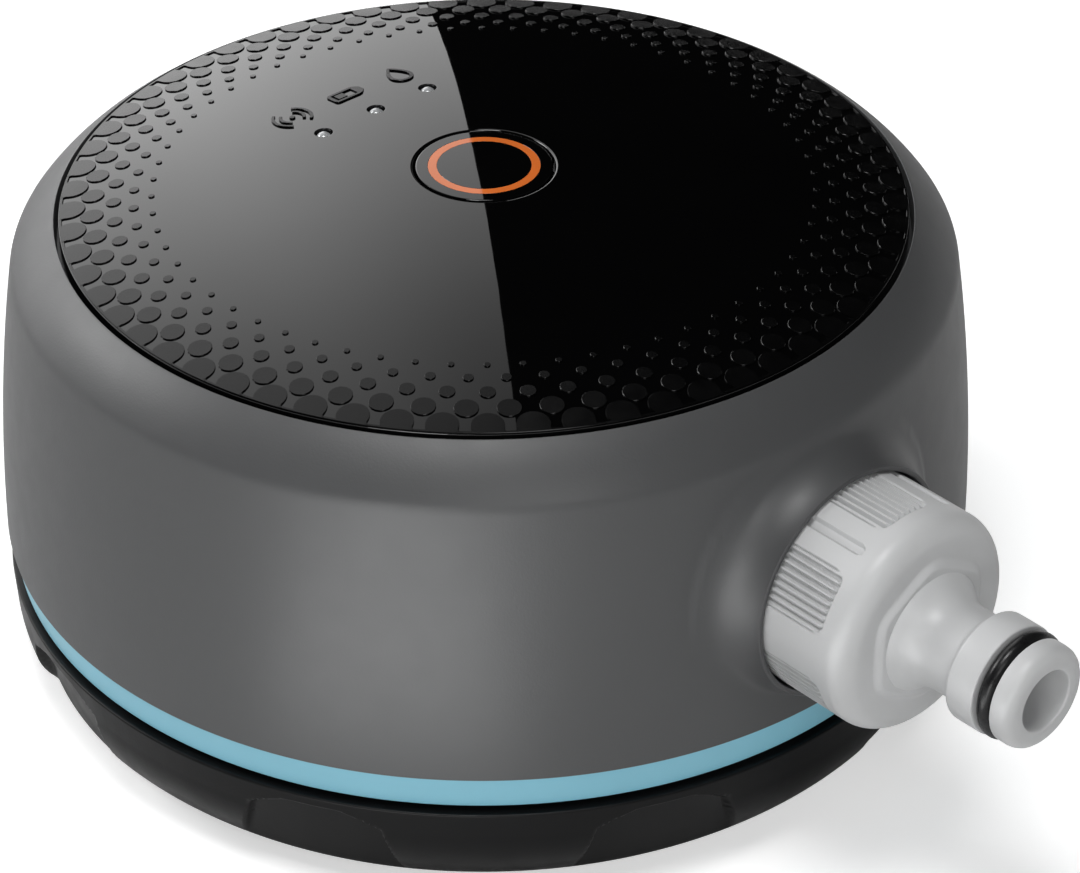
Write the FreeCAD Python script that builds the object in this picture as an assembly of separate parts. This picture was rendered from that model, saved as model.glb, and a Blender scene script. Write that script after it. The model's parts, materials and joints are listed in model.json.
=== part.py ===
import FreeCAD
import Part
import math
import os

from FreeCAD import Placement, Rotation, Vector

# Smart irrigation valve, lying on its base with the control face up.
# Millimetres, +Z up, origin at the centre of the flat underside.
# The water outlet points along -Y, the inlet along +Y.

# Driving dimensions of the round body
edge_height = 76.0
dome_rise = 5.8
body_radius = 75.2
crease_inset = 3.7
crease_drop = 7.3
rim_width = 11.0
wall = 2.8
wall_bulge = 0.85
shoulder_bulge = 0.5
crease_softness = 3.0
cover_height = 17.9
rim_gap = 0.8
accent_height = 5.7
accent_taper = 1.0
accent_thickness = 3.0
skirt_thickness = 2.5
web_thickness = 2.4

# Clearances
seat_gap = 0.3
slide_gap = 0.5
snug_gap = 0.1
running_gap = 0.08
seal_gap = 0.05

# Control face
panel_thickness = 2.6
panel_gap = 0.4
seal_thickness = 0.8
ledge_width = 3.2
ledge_thickness = 3.0
button_gap_radius = 11.0
button_gap = 0.45
button_flange_width = 1.6
button_flange_thickness = 1.5
led_size = 3.0
led_height = 0.8
light_ring_inner = 7.0
light_ring_outer = 8.45
light_ring_depth = 1.8
lens_radius = 1.3
lens_pitch = 10.45
lens_row = 25.0
lens_recess = 0.35

# Circuit board under the face
board_inset = 7.2
board_thickness = 1.6
board_drop = 2.4
board_post_inset = 9.0
board_clearance = 1.0
board_post_radius = 3.6
board_screw_radius = 1.5
board_screw_length = 5.0
board_notch = 6.0
module_corner_x = 36.0
module_corner_y = 24.0
module_width = 18.0
module_length = 26.0
module_height = 3.0
connector_block_x = 22.0
connector_block_y = 12.0
connector_block_width = 16.0
connector_block_depth = 8.0
connector_block_height = 4.4

# Battery cover
cover_inset = 0.2
cover_corner = 13.5
cover_wall_slope = 0.3
cover_floor = 3.0
cover_skirt_thickness = 3.3
recess_count = 9
recess_first_angle = -21.5
recess_half_width_top = 6.0
recess_half_width_mid = 10.0
recess_half_width_low = 14.2
recess_top_margin = 2.0
recess_depth_top = 1.4
recess_depth_mid = 4.2
recess_depth_low = 5.4
recess_tool_length = 20.0
recess_fade_height = 3.4
cover_seal_section = 2.0

# Outlet and its tap connector, measured outwards from the body's middle
outlet_share = 0.613158
boss_reach = 2.8
boss_face_radius = 18.2
boss_foot_radius = 23.6
boss_depth = 8.0
spigot_recess_radius = 17.4
spigot_recess_depth = 4.8
spigot_flange_thickness = 1.4
spigot_flange_radius = 17.1
thread_radius = 13.2
spigot_reach = 9.2
spigot_bore = 8.0
connector_nut_radius = 17.0
connector_nut_reach = 15.0
nut_seat_depth = 2.7
connector_nut_fillet = 3.4
washer_thickness = 2.4
nipple_reach = 37.2
nipple_bore = 4.7
nipple_tip_radius = 7.93
nipple_tip_length = 3.4
nipple_nose = 2.2
nipple_collar_radius = 8.45
nipple_collar_length = 4.8
nipple_neck_radius = 6.7
nipple_flare_length = 6.0
nipple_foot_radius = 9.2
pad_radius = 11.6
pad_height = 1.0
o_ring_section = 2.5
grip_panels = 6
grip_panel_angle = 34.0
grip_front_margin = 5.0
grip_depth = 0.6
grip_ribs = 9
grip_groove_width = 1.9
grip_groove_depth = 0.7

# Inlet, measured outwards from the body's middle
inlet_nut_radius = 17.0
inlet_nut_reach = 6.3
inlet_nut_length = 17.5
inlet_thread_radius = 12.06
inlet_thread_length = 7.3
inlet_relief_radius = 12.5
inlet_collar_thickness = 3.4
inlet_nose_radius = 10.4
inlet_nose_length = 7.0
inlet_grip_grooves = 16
pocket_gap = 0.6
pocket_wall = 1.8
pocket_floor = 2.0
strainer_rim = 0.6
strainer_length = 15.0
strainer_slot = 2.2

# Valve inside the body
barrel_radius = 12.0
plug_radius = 9.5
water_bore = 6.5
outlet_socket_depth = 15.0
outlet_barrel_gap = 6.7
inlet_barrel_gap = 8.0
inlet_socket_depth = 9.5
clip_thickness = 1.6
clip_width = 3.4
chamber_radius = 21.5
drum_radius = 24.5
seat_bore = 7.0
seat_wall = 2.2
flange_radius = 32.0
flange_thickness = 3.5
bonnet_screw_circle = 28.9
bonnet_screws = 6
bonnet_screw_radius = 1.6
bonnet_height = 7.4
bonnet_roof = 2.4
membrane = 1.0
solenoid_offset = 46.0
plunger_radius = 4.6
plunger_margin = 7.5
plunger_travel = 2.0
coil_case_radius = 11.5
coil_seat_drop = 1.1
coil_clearance = 6.6
tube_wall = 0.9
coil_screw_reach = 14.4

# Chassis and batteries
chassis_thickness = 2.2
wire_way_x = 30.0
wire_way_width = 6.0
post_inset = 14.2
post_radius = 4.0
screw_shank_radius = 1.5
screw_head_radius = 2.8
screw_head_height = 2.0
chassis_screw_length = 14.0
saddle_offset = 40.0
saddle_length = 8.0
clamp_thickness = 3.0
clamp_ear = 6.5
clamp_screw_length = 12.0
cell_radius = 7.15
cell_length = 49.3
cell_nub_radius = 2.7
cell_nub_length = 1.2
cell_count = 4
cell_pitch = 15.0
tray_wall = 1.6
contact_thickness = 0.5
contact_travel = 1.8
contact_width = 10.0
leaf_width = 8.0
leaf_height = 5.0

# Levels worked out from the dimensions above
crease_radius = body_radius - crease_inset
opening_radius = body_radius - rim_width
cover_rim_radius = body_radius - cover_inset
board_radius = opening_radius - board_inset
board_post_circle = board_radius - board_post_inset
post_circle = body_radius - post_inset
outlet_height = edge_height * outlet_share
boss_face = body_radius + boss_reach
boss_foot = boss_face - boss_depth
spigot_recess_floor = boss_face - spigot_recess_depth
spigot_end = boss_face + spigot_reach
connector_nut_front = boss_face + connector_nut_reach
nipple_neck_start = connector_nut_front + nipple_flare_length
nipple_end = boss_face + nipple_reach
grip_panel_end = connector_nut_front - grip_front_margin
outlet_barrel_end = spigot_recess_floor - outlet_barrel_gap
inlet_nut_end = body_radius + inlet_nut_reach
inlet_nut_start = inlet_nut_end - inlet_nut_length
inlet_nose_end = inlet_nut_start + inlet_nose_length
inlet_barrel_end = inlet_nut_start - inlet_barrel_gap
accent_bottom = cover_height + rim_gap
wall_bottom = accent_bottom + accent_height
crease_height = edge_height - crease_drop
panel_radius = opening_radius - panel_gap
panel_bottom = edge_height - panel_thickness
ledge_top = panel_bottom - seal_thickness
ledge_radius = opening_radius - ledge_width
skirt_outer = body_radius - accent_thickness - wall / 10
skirt_inner = skirt_outer - skirt_thickness
chassis_bottom = wall_bottom + web_thickness - chassis_thickness
chassis_top = chassis_bottom + chassis_thickness
chassis_radius = skirt_inner - seat_gap
board_top = panel_bottom - board_drop
board_bottom = board_top - board_thickness
post_angles = [45, 135, 225, 315]
nut_rear = boss_face - nut_seat_depth
washer_rear = spigot_end
washer_front = washer_rear + washer_thickness
nipple_tip_rear = nipple_end - nipple_tip_length
groove_rear = nipple_tip_rear - o_ring_section - 0.3
collar_rear = groove_rear - nipple_collar_length
flange_top = board_bottom - board_clearance - bonnet_height - membrane
bonnet_bottom = flange_top + membrane
bonnet_top = bonnet_bottom + bonnet_height
seat_top = flange_top - 1.4
chamber_floor = outlet_height + water_bore + 2.2
plunger_top = bonnet_bottom - 1.0
coil_top = bonnet_bottom - coil_seat_drop
coil_bottom = chassis_top + coil_clearance
plunger_length = coil_top - coil_bottom - plunger_margin
tray_top = chassis_bottom
cell_axis = tray_top - tray_wall - cell_radius
tray_half_y = cell_length / 2 + contact_travel / 2 + cell_nub_length / 2 + contact_thickness
tray_half_x = cell_count * cell_pitch / 2


def dome(radius):
    """Height of the face's surface, part of a sphere, over a point at this radius."""
    ball = (panel_radius ** 2 + dome_rise ** 2) / (2 * dome_rise)
    return edge_height + dome_rise - ball + math.sqrt(ball ** 2 - radius ** 2)


def dome_arc(start, end, depth=0):
    """Move along the face's surface, or at a depth below it, from one radius to another."""
    middle = (start + end) / 2
    return ("arc", (middle, dome(middle) - depth), (end, dome(end) - depth))


def bowed(a, b, bulge):
    """Arc from a to b that stands out by bulge at its middle, to the right of the way from a to b."""
    length = math.hypot(b[0] - a[0], b[1] - a[1])
    normal = ((b[1] - a[1]) / length, -(b[0] - a[0]) / length)
    middle = ((a[0] + b[0]) / 2 + bulge * normal[0], (a[1] + b[1]) / 2 + bulge * normal[1])
    return ("arc", middle, b)


def turned(start, *moves):
    """Solid of revolution about Z from an outline in (radius, height).

    A move is a point for a straight line, or ("arc", through, end).
    """
    edges = []
    here = start
    for move in list(moves) + [start]:
        if move[0] == "arc":
            a = Vector(here[0], 0, here[1])
            b = Vector(move[1][0], 0, move[1][1])
            c = Vector(move[2][0], 0, move[2][1])
            edges.append(Part.Arc(a, b, c).toShape())
            here = move[2]
        elif move != here:
            edges.append(Part.makeLine(Vector(here[0], 0, here[1]), Vector(move[0], 0, move[1])))
            here = move
    face = Part.Face(Part.Wire(edges))
    return face.revolve(Vector(0, 0, 0), Vector(0, 0, 1), 360)


def tube(inner, outer, low, high):
    """Ring or disc about Z between two heights."""
    solid = Part.makeCylinder(outer, high - low, Vector(0, 0, low))
    if inner > 0:
        solid = solid.cut(Part.makeCylinder(inner, high - low + 2, Vector(0, 0, low - 1)))
    return solid


def rod(radius, low, high, x=0, y=0):
    return Part.makeCylinder(radius, high - low, Vector(x, y, low))


def block(x0, x1, y0, y1, z0, z1):
    return Part.makeBox(x1 - x0, y1 - y0, z1 - z0, Vector(x0, y0, z0))


def moved(shape, placement):
    result = shape.copy()
    result.Placement = placement.multiply(result.Placement)
    return result


def towards_outlet(shape):
    """Turn a shape made along +Z to point out along -Y at the outlet's height."""
    return moved(shape, Placement(Vector(0, 0, outlet_height), Rotation(Vector(1, 0, 0), 90)))


def towards_inlet(shape):
    """Turn a shape made along +Z to point out along +Y at the outlet's height."""
    return moved(shape, Placement(Vector(0, 0, outlet_height), Rotation(Vector(1, 0, 0), -90)))


def spun(shape, degrees):
    return moved(shape, Placement(Vector(0, 0, 0), Rotation(Vector(0, 0, 1), degrees)))


def at(shape, x, y, z=0):
    return moved(shape, Placement(Vector(x, y, z), Rotation()))


def round_edges(shape, size, radius, height):
    """Fillet the circular edges about Z that have this radius and height."""
    edges = []
    for edge in shape.Edges:
        curve = edge.Curve
        if isinstance(curve, Part.Circle) and abs(curve.Radius - radius) < 0.02:
            if abs(curve.Center.z - height) < 0.02:
                edges.append(edge)
    return shape.makeFillet(size, edges)


def join(shapes):
    return shapes[0].fuse(shapes[1:]).removeSplitter()


def group(shapes):
    return Part.makeCompound(shapes)


def polar(radius, degrees):
    return (radius * math.cos(math.radians(degrees)), radius * math.sin(math.radians(degrees)))


def screw(shank_radius, head_radius, head_height, length):
    """Pan-head screw pointing up, its head's seat at height 0."""
    return join([rod(head_radius, -head_height, 0), rod(shank_radius, -0.1, length)])


# Housing: one turned shell with the outlet's flared boss, the inlet's pocket and the screw posts
def housing():
    wall_low = (body_radius, wall_bottom)
    crease = (crease_radius, crease_height)
    edge = (opening_radius + 0.3, edge_height - 0.2)
    outside = turned(
        (0, accent_bottom),
        (skirt_outer, accent_bottom),
        (skirt_outer, wall_bottom),
        wall_low,
        bowed(wall_low, crease, wall_bulge),
        bowed(crease, edge, shoulder_bulge),
        (opening_radius, edge_height - 0.5),
        (0, edge_height - 0.5),
    )
    outside = round_edges(outside, crease_softness, crease_radius, crease_height)
    flare_mid = (
        boss_face_radius + 0.36 * (boss_foot_radius - boss_face_radius),
        boss_foot + 0.36 * (boss_face - boss_foot),
    )
    flare = turned(
        (0, boss_foot - 8),
        (boss_foot_radius, boss_foot - 8),
        (boss_foot_radius, boss_foot),
        ("arc", flare_mid, (boss_face_radius, boss_face)),
        (0, boss_face),
    )
    reach = 2 * body_radius
    above_accent = block(-reach, reach, -reach, reach, wall_bottom, edge_height)
    # The flare's own seam is turned away from the housing's, or the two don't fuse
    outside = outside.fuse(towards_outlet(spun(flare, 90)).common(above_accent))

    inner_low = (body_radius - wall, wall_bottom + web_thickness)
    inner_crease = (crease_radius - wall, crease_height - wall / 2)
    inner_top = (ledge_radius + 1.5, ledge_top - ledge_thickness)
    inside = turned(
        (0, accent_bottom - 1),
        (skirt_inner, accent_bottom - 1),
        (skirt_inner, inner_low[1]),
        inner_low,
        bowed(inner_low, inner_crease, wall_bulge),
        inner_top,
        (ledge_radius, inner_top[1]),
        (ledge_radius, ledge_top),
        (opening_radius, ledge_top),
        (opening_radius, edge_height + 1),
        (0, edge_height + 1),
    )
    shell = outside.cut(inside)

    room = turned(
        (0, chassis_top),
        (inner_low[0] + 1, chassis_top),
        (inner_crease[0] + 1, inner_crease[1]),
        (inner_top[0] + 1, inner_top[1] + 1),
        (0, inner_top[1] + 1),
    )
    pocket_radius = inlet_nut_radius + pocket_gap
    pocket = rod(pocket_radius + pocket_wall, pocket_back(), inner_low[0])
    posts = [rod(post_radius, chassis_top, inner_top[1] + 1, *polar(post_circle, angle))
             for angle in post_angles]
    added = join([towards_inlet(pocket)] + posts).common(room)
    shell = shell.fuse(added)
    shell = shell.cut(towards_inlet(rod(pocket_radius, pocket_back() + pocket_floor, reach)))
    shell = shell.cut(towards_inlet(rod(barrel_radius + seat_gap, pocket_back() - 1, reach)))
    shell = shell.cut(towards_outlet(rod(spigot_recess_radius, spigot_recess_floor, reach)))
    shell = shell.cut(towards_outlet(rod(thread_radius + snug_gap, outlet_barrel_end, reach)))
    for angle in post_angles:
        x, y = polar(post_circle, angle)
        shell = shell.cut(rod(screw_shank_radius, chassis_top - 1, chassis_top + chassis_screw_length, x, y))
    return shell.removeSplitter()


def pocket_back():
    """Where the inlet pocket's floor starts: behind the spigot's flange."""
    return inlet_nut_start - seat_gap - 2.2 - pocket_floor


# Blue ring that snaps over the housing's skirt
def accent_ring():
    return turned(
        (skirt_outer + snug_gap, accent_bottom + 0.1),
        (body_radius - accent_taper - 0.2, accent_bottom + 0.1),
        (body_radius - 0.2, wall_bottom),
        (skirt_outer + snug_gap, wall_bottom),
    )


# Domed face panel with the button's guide, lens holes and posts for the board
def top_panel():
    under = dome(0) - panel_thickness
    rim_inner = ledge_radius - 0.5
    solid = turned(
        (0, under),
        dome_arc(0, rim_inner, panel_thickness),
        (rim_inner, panel_bottom),
        (panel_radius, panel_bottom),
        (panel_radius, edge_height - 0.3),
        (panel_radius - 0.3, dome(panel_radius - 0.3)),
        dome_arc(panel_radius - 0.3, 0),
    )
    guide_outer = button_gap_radius + button_flange_width + slide_gap
    guide = tube(button_gap_radius - 1, guide_outer + 1.6, board_top + 2.6, under + 0.6)
    post_top = dome(board_post_circle) - panel_thickness + 0.5
    posts = [rod(board_post_radius, board_top, post_top, *polar(board_post_circle, angle))
             for angle in post_angles]
    solid = join([solid, guide] + posts)
    solid = solid.cut(rod(button_gap_radius, board_top, edge_height + 2 * dome_rise))
    solid = solid.cut(rod(guide_outer, board_top, under - 0.2))
    for x in lens_places():
        solid = solid.cut(rod(lens_radius + 0.2, board_top, edge_height + 2 * dome_rise, x, lens_row))
    for angle in post_angles:
        x, y = polar(board_post_circle, angle)
        solid = solid.cut(rod(board_screw_radius, board_top - 1, board_top + board_screw_length, x, y))
    return solid


def lens_places():
    return [-lens_pitch, 0, lens_pitch]


def panel_seal():
    return tube(ledge_radius + 0.4, panel_radius - 0.4, ledge_top, panel_bottom)


# Push button: cap with a retaining flange, and the light ring let into its top
def button_levels():
    flange_top_level = dome(0) - panel_thickness - 0.2 - seat_gap
    return flange_top_level - button_flange_thickness, flange_top_level


def button_cap():
    cap_radius = button_gap_radius - button_gap
    low, flange_level = button_levels()
    edge = dome(cap_radius)
    groove = dome(0) - light_ring_depth
    solid = turned(
        (0, low),
        (button_gap_radius + button_flange_width, low),
        (button_gap_radius + button_flange_width, flange_level),
        (cap_radius, flange_level),
        (cap_radius, edge - 0.35),
        (cap_radius - 0.35, edge),
        dome_arc(cap_radius - 0.35, light_ring_outer),
        (light_ring_outer, groove),
        (light_ring_inner, groove),
        (light_ring_inner, dome(light_ring_inner)),
        dome_arc(light_ring_inner, 0),
    )
    solid = solid.cut(tube(3.0, cap_radius - 1.6, low - 1, low + 1.2))
    return solid.fuse(rod(3.0, stem_bottom(), low + 0.1)).removeSplitter()


def stem_bottom():
    return board_top + 4.6


def button_ring():
    low = dome(0) - light_ring_depth
    return turned(
        (light_ring_inner, low),
        (light_ring_outer, low),
        (light_ring_outer, dome(light_ring_outer)),
        (light_ring_inner, dome(light_ring_inner)),
    )


def switch_dome():
    top = stem_bottom() - snug_gap
    return turned(
        (0, top - 1.6),
        (2.4, top - 1.6),
        (6.0, board_top),
        (8.0, board_top),
        (8.0, board_top + 0.8),
        (6.8, board_top + 0.8),
        (3.4, top),
        (0, top),
    )


# Clear light guides: a rod in the face with a flange under it
def indicator_lenses():
    pieces = []
    for x in lens_places():
        radius = math.hypot(x, lens_row)
        top = dome(radius) - lens_recess
        flange_level = dome(radius + 2.6) - panel_thickness - seat_gap
        body = join([
            rod(lens_radius, board_top + 1.1, top, x, lens_row),
            rod(lens_radius + 1.0, flange_level - 1.0, flange_level, x, lens_row),
        ])
        pieces.append(body)
    return group(pieces)


def status_leds():
    half = led_size / 2
    top = board_top + led_height
    return group([block(x - half, x + half, lens_row - half, lens_row + half, board_top, top)
                  for x in lens_places()])


def circuit_board():
    board = tube(0, board_radius, board_bottom, board_top)
    half = 1.5 * board_notch
    notch = block(-half, half, board_radius - board_notch, board_radius + 1, board_bottom - 1, board_top + 1)
    board = board.cut(notch)
    for angle in post_angles:
        x, y = polar(board_post_circle, angle)
        board = board.cut(rod(board_screw_radius + 0.2, board_bottom - 1, board_top + 1, x, y))
    return board


def board_screws():
    length = board_thickness + board_screw_length - 0.6
    one = screw(board_screw_radius - snug_gap, screw_head_radius, 1.8, length)
    return group([at(one, *polar(board_post_circle, angle), board_bottom) for angle in post_angles])


def radio_module():
    x0, y0 = -module_corner_x, -module_corner_y
    x1, y1 = x0 + module_width, y0 + module_length
    base = block(x0, x1, y0, y1, board_top, board_top + 0.8)
    can = block(x0 + 1, x1 - 1, y0 + 7, y1 - 1, board_top + 0.8, board_top + module_height)
    return base.fuse(can).removeSplitter()


def board_connector():
    x0, y0 = connector_block_x, -connector_block_y
    x1, y1 = x0 + connector_block_width, y0 + connector_block_depth
    top = board_top + connector_block_height
    shell = block(x0, x1, y0, y1, board_top, top)
    return shell.cut(block(x0 + 1, x1 - 1, y0 + 1, y1 - 1, board_top + 1.2, top + 1))


# Battery cover: a turned bowl with finger recesses, closed by a plug skirt with a seal groove
def cover_profile():
    corner_centre = (cover_rim_radius - cover_wall_slope - cover_corner, cover_corner)
    diagonal = cover_corner * math.sqrt(0.5)
    corner_mid = (corner_centre[0] + diagonal, corner_centre[1] - diagonal)
    return corner_centre, corner_mid


def finger_recess():
    """Tapering block, wider outwards, whose outline is a soft trapezium open at the bottom."""
    top = cover_height - recess_top_margin

    def outline(distance, grow):
        t = recess_half_width_top + grow
        m = recess_half_width_mid + grow
        w = recess_half_width_low + grow
        high = top + grow
        points = [(w, -1), (m, top - 2.4), (t, high), (-t, high), (-m, top - 2.4), (-w, -1)]
        p = [Vector(distance, y, z) for y, z in points]
        bend = Vector(distance, (t + m) / 2 + 0.7, (high + top - 2.4) / 2 + 0.7)
        other = Vector(distance, -bend.y, bend.z)
        return Part.Wire([
            Part.makeLine(p[0], p[1]),
            Part.Arc(p[1], bend, p[2]).toShape(),
            Part.makeLine(p[2], p[3]),
            Part.Arc(p[3], other, p[4]).toShape(),
            Part.makeLine(p[4], p[5]),
            Part.makeLine(p[5], p[0]),
        ])

    inner = cover_rim_radius - recess_tool_length
    return Part.makeLoft([outline(inner, -1.8), outline(cover_rim_radius + 4, 1.0)], True, True)


def battery_cover():
    (corner_x, corner_z), corner_mid = cover_profile()
    skirt_outer_radius = skirt_inner - slide_gap
    skirt_inner_radius = skirt_outer_radius - cover_skirt_thickness
    skirt_top = chassis_bottom - 0.4
    rim = cover_height
    solid = turned(
        (0, 0),
        (corner_x, 0),
        ("arc", corner_mid, (corner_x + cover_corner, corner_z)),
        (cover_rim_radius, rim - 0.4),
        (cover_rim_radius - 0.4, rim),
        (skirt_outer_radius, rim),
        (skirt_outer_radius, skirt_top - 0.6),
        (skirt_outer_radius - 0.6, skirt_top),
        (0, skirt_top),
    )
    recess_top = rim - recess_top_margin
    floor_core = turned(
        (0, -1),
        (cover_rim_radius - recess_depth_low, -1),
        (cover_rim_radius - recess_depth_mid, recess_fade_height),
        (cover_rim_radius - recess_depth_top, recess_top),
        (cover_rim_radius - recess_depth_top, recess_top + 4),
        (0, recess_top + 4),
    )
    tool = finger_recess()
    for k in range(recess_count):
        angle = -90 + recess_first_angle + 360 * k / recess_count
        solid = solid.cut(spun(tool, angle).cut(floor_core))
    cavity_radius = skirt_inner_radius
    bend = 9.5
    diagonal = bend * math.sqrt(0.5)
    bend_x, bend_z = cavity_radius - bend, cover_floor + bend
    cavity = turned(
        (0, cover_floor),
        (bend_x, cover_floor),
        ("arc", (bend_x + diagonal, bend_z - diagonal), (cavity_radius, bend_z)),
        (cavity_radius, skirt_top + 1),
        (0, skirt_top + 1),
    )
    solid = solid.cut(cavity)
    groove_floor, groove_low = seal_place()
    return solid.cut(tube(groove_floor, skirt_inner + 1, groove_low, groove_low + cover_seal_section + 0.3))


def seal_place():
    """Radius of the seal groove's floor and height of its lower side."""
    return skirt_inner - seal_gap - cover_seal_section - seal_gap, cover_height + 2.4


def cover_seal():
    groove_low = seal_place()[1]
    middle = skirt_inner - seal_gap - cover_seal_section / 2
    level = groove_low + 0.15 + cover_seal_section / 2
    return Part.makeTorus(middle, cover_seal_section / 2, Vector(0, 0, level), Vector(0, 0, 1))


# Outlet spigot: threaded end outside, flange in the boss, plug with a seal inside
def outlet_spigot():
    flange_front = spigot_recess_floor + spigot_flange_thickness
    plug_end = outlet_barrel_end - outlet_socket_depth + 0.5
    solid = turned(
        (water_bore, plug_end),
        (plug_radius, plug_end),
        (plug_radius, outlet_barrel_end + 0.3),
        (thread_radius, outlet_barrel_end + 0.3),
        (thread_radius, spigot_recess_floor),
        (spigot_flange_radius, spigot_recess_floor),
        (spigot_flange_radius, flange_front),
        (thread_radius, flange_front),
        (thread_radius, spigot_end - 0.6),
        (thread_radius - 0.6, spigot_end),
        (spigot_bore, spigot_end),
        (water_bore, spigot_end - 16),
    )
    low = outlet_clip_level()
    high = low + clip_thickness + 0.1
    solid = solid.cut(tube(clip_inner(thread_radius), thread_radius + 1, low - 0.1, high))
    solid = solid.cut(tube(plug_radius - 1.6, plug_radius + 1, plug_end + 4.0, plug_end + 6.4))
    return towards_outlet(solid)


def clip_inner(radius):
    return radius - 1.8


def outlet_clip_level():
    return outlet_barrel_end + 0.9


def u_clip(radius):
    """Flat U-shaped clip that slides into a groove from above (towards +Y before it is turned)."""
    inner = clip_inner(radius) + snug_gap
    outer = inner + clip_width
    plate = tube(0, outer, 0, clip_thickness)
    slot = block(-inner, inner, -outer - 1, 0, -1, clip_thickness + 1)
    return plate.cut(rod(inner, -1, clip_thickness + 1)).cut(slot)


def spigot_clips():
    front = towards_outlet(at(u_clip(thread_radius), 0, 0, outlet_clip_level()))
    back = towards_inlet(spun(at(u_clip(barrel_radius), 0, 0, inlet_clip_level()), 180))
    return group([front, back])


def inlet_clip_level():
    return pocket_back() - clip_thickness - 0.3


def spigot_seals():
    front = outlet_barrel_end - outlet_socket_depth + 0.5 + 5.2
    back = inlet_plug_end() + 3.2
    ring = Part.makeTorus(plug_radius - 0.78, 0.8)
    return group([towards_outlet(at(ring, 0, 0, front)), towards_inlet(at(ring, 0, 0, back))])


# Inlet spigot: flange on the pocket's floor, nose for the washer, groove for the nut's snap ring
def inlet_plug_end():
    return inlet_barrel_end - inlet_socket_depth + 0.5


def snap_ring_level():
    return inlet_nut_start + inlet_collar_thickness + seat_gap


def inlet_spigot():
    flange_rear = pocket_back() + pocket_floor
    solid = turned(
        (water_bore, inlet_plug_end()),
        (plug_radius, inlet_plug_end()),
        (plug_radius, inlet_barrel_end + 0.3),
        (barrel_radius, inlet_barrel_end + 0.3),
        (barrel_radius, flange_rear),
        (barrel_radius + 2.5, flange_rear),
        (barrel_radius + 2.5, flange_rear + 1.9),
        (inlet_nose_radius, flange_rear + 1.9),
        (inlet_nose_radius, inlet_nose_end - 0.4),
        (inlet_nose_radius - 0.4, inlet_nose_end),
        (water_bore + 1.0, inlet_nose_end),
        (water_bore + 1.0, inlet_nose_end - 1.0),
        (water_bore, inlet_nose_end - 1.0),
    )
    low = inlet_clip_level()
    high = low + clip_thickness + 0.1
    solid = solid.cut(tube(clip_inner(barrel_radius), barrel_radius + 1, low - 0.1, high))
    seal_low = inlet_plug_end() + 2.0
    solid = solid.cut(tube(plug_radius - 1.6, plug_radius + 1, seal_low, seal_low + 2.4))
    ring = snap_ring_level()
    solid = solid.cut(tube(inlet_nose_radius - 0.8, inlet_nose_radius + 1, ring, ring + 1.4))
    return towards_inlet(solid)


def nut_clip():
    """Snap ring in front of the nut's inner collar, open by a small gap."""
    low = snap_ring_level() + 0.05
    ring = tube(inlet_nose_radius - 0.75, inlet_nose_radius + 1.4, low, low + 1.3)
    return towards_inlet(ring.cut(block(-1.5, 1.5, 0, 20, low - 1, low + 3)))


def inlet_nut():
    seat = washer_seat() + washer_thickness + strainer_rim + 0.1
    collar_front = inlet_nut_start + inlet_collar_thickness
    thread_start = inlet_nut_end - 0.6 - inlet_thread_length
    solid = turned(
        (inlet_nose_radius + running_gap, inlet_nut_start),
        (inlet_nut_radius - 0.8, inlet_nut_start),
        (inlet_nut_radius, inlet_nut_start + 0.8),
        (inlet_nut_radius, inlet_nut_end - 1.2),
        (inlet_nut_radius - 1.2, inlet_nut_end),
        (inlet_thread_radius + 0.6, inlet_nut_end),
        (inlet_thread_radius, inlet_nut_end - 0.6),
        (inlet_thread_radius, max(thread_start, seat)),
        (inlet_relief_radius, max(thread_start, seat)),
        (inlet_relief_radius, collar_front),
        (inlet_nose_radius + running_gap, collar_front),
    )
    groove = at(rod(1.6, body_radius, inlet_nut_end + 1), inlet_nut_radius + 0.9, 0)
    for k in range(inlet_grip_grooves):
        solid = solid.cut(spun(groove, 360 * k / inlet_grip_grooves))
    return towards_inlet(solid)


def washer_seat():
    return inlet_nose_end


def inlet_strainer():
    """Cup of wide slots that hangs in the inlet's bore from a thin rim."""
    rim = washer_seat()
    cup_radius = water_bore - 0.3
    cup_end = rim - strainer_length
    cup = turned(
        (0, cup_end),
        (cup_radius - 1.2, cup_end),
        (cup_radius, rim - 1.0),
        (cup_radius, rim),
        (inlet_thread_radius - 0.4, rim),
        (inlet_thread_radius - 0.4, rim + strainer_rim),
        (cup_radius - 0.8, rim + strainer_rim),
        (cup_radius - 2.0, cup_end + 0.8),
        (0, cup_end + 0.8),
    )
    slot = block(0, 2 * cup_radius, -strainer_slot / 2, strainer_slot / 2, cup_end + 2.0, rim - 2.0)
    for k in range(8):
        cup = cup.cut(spun(slot, 45 * k))
    return towards_inlet(cup)


def inlet_washer():
    low = washer_seat() + strainer_rim
    return towards_inlet(tube(water_bore + 1.0, inlet_thread_radius - 0.3, low, low + washer_thickness))


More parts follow.
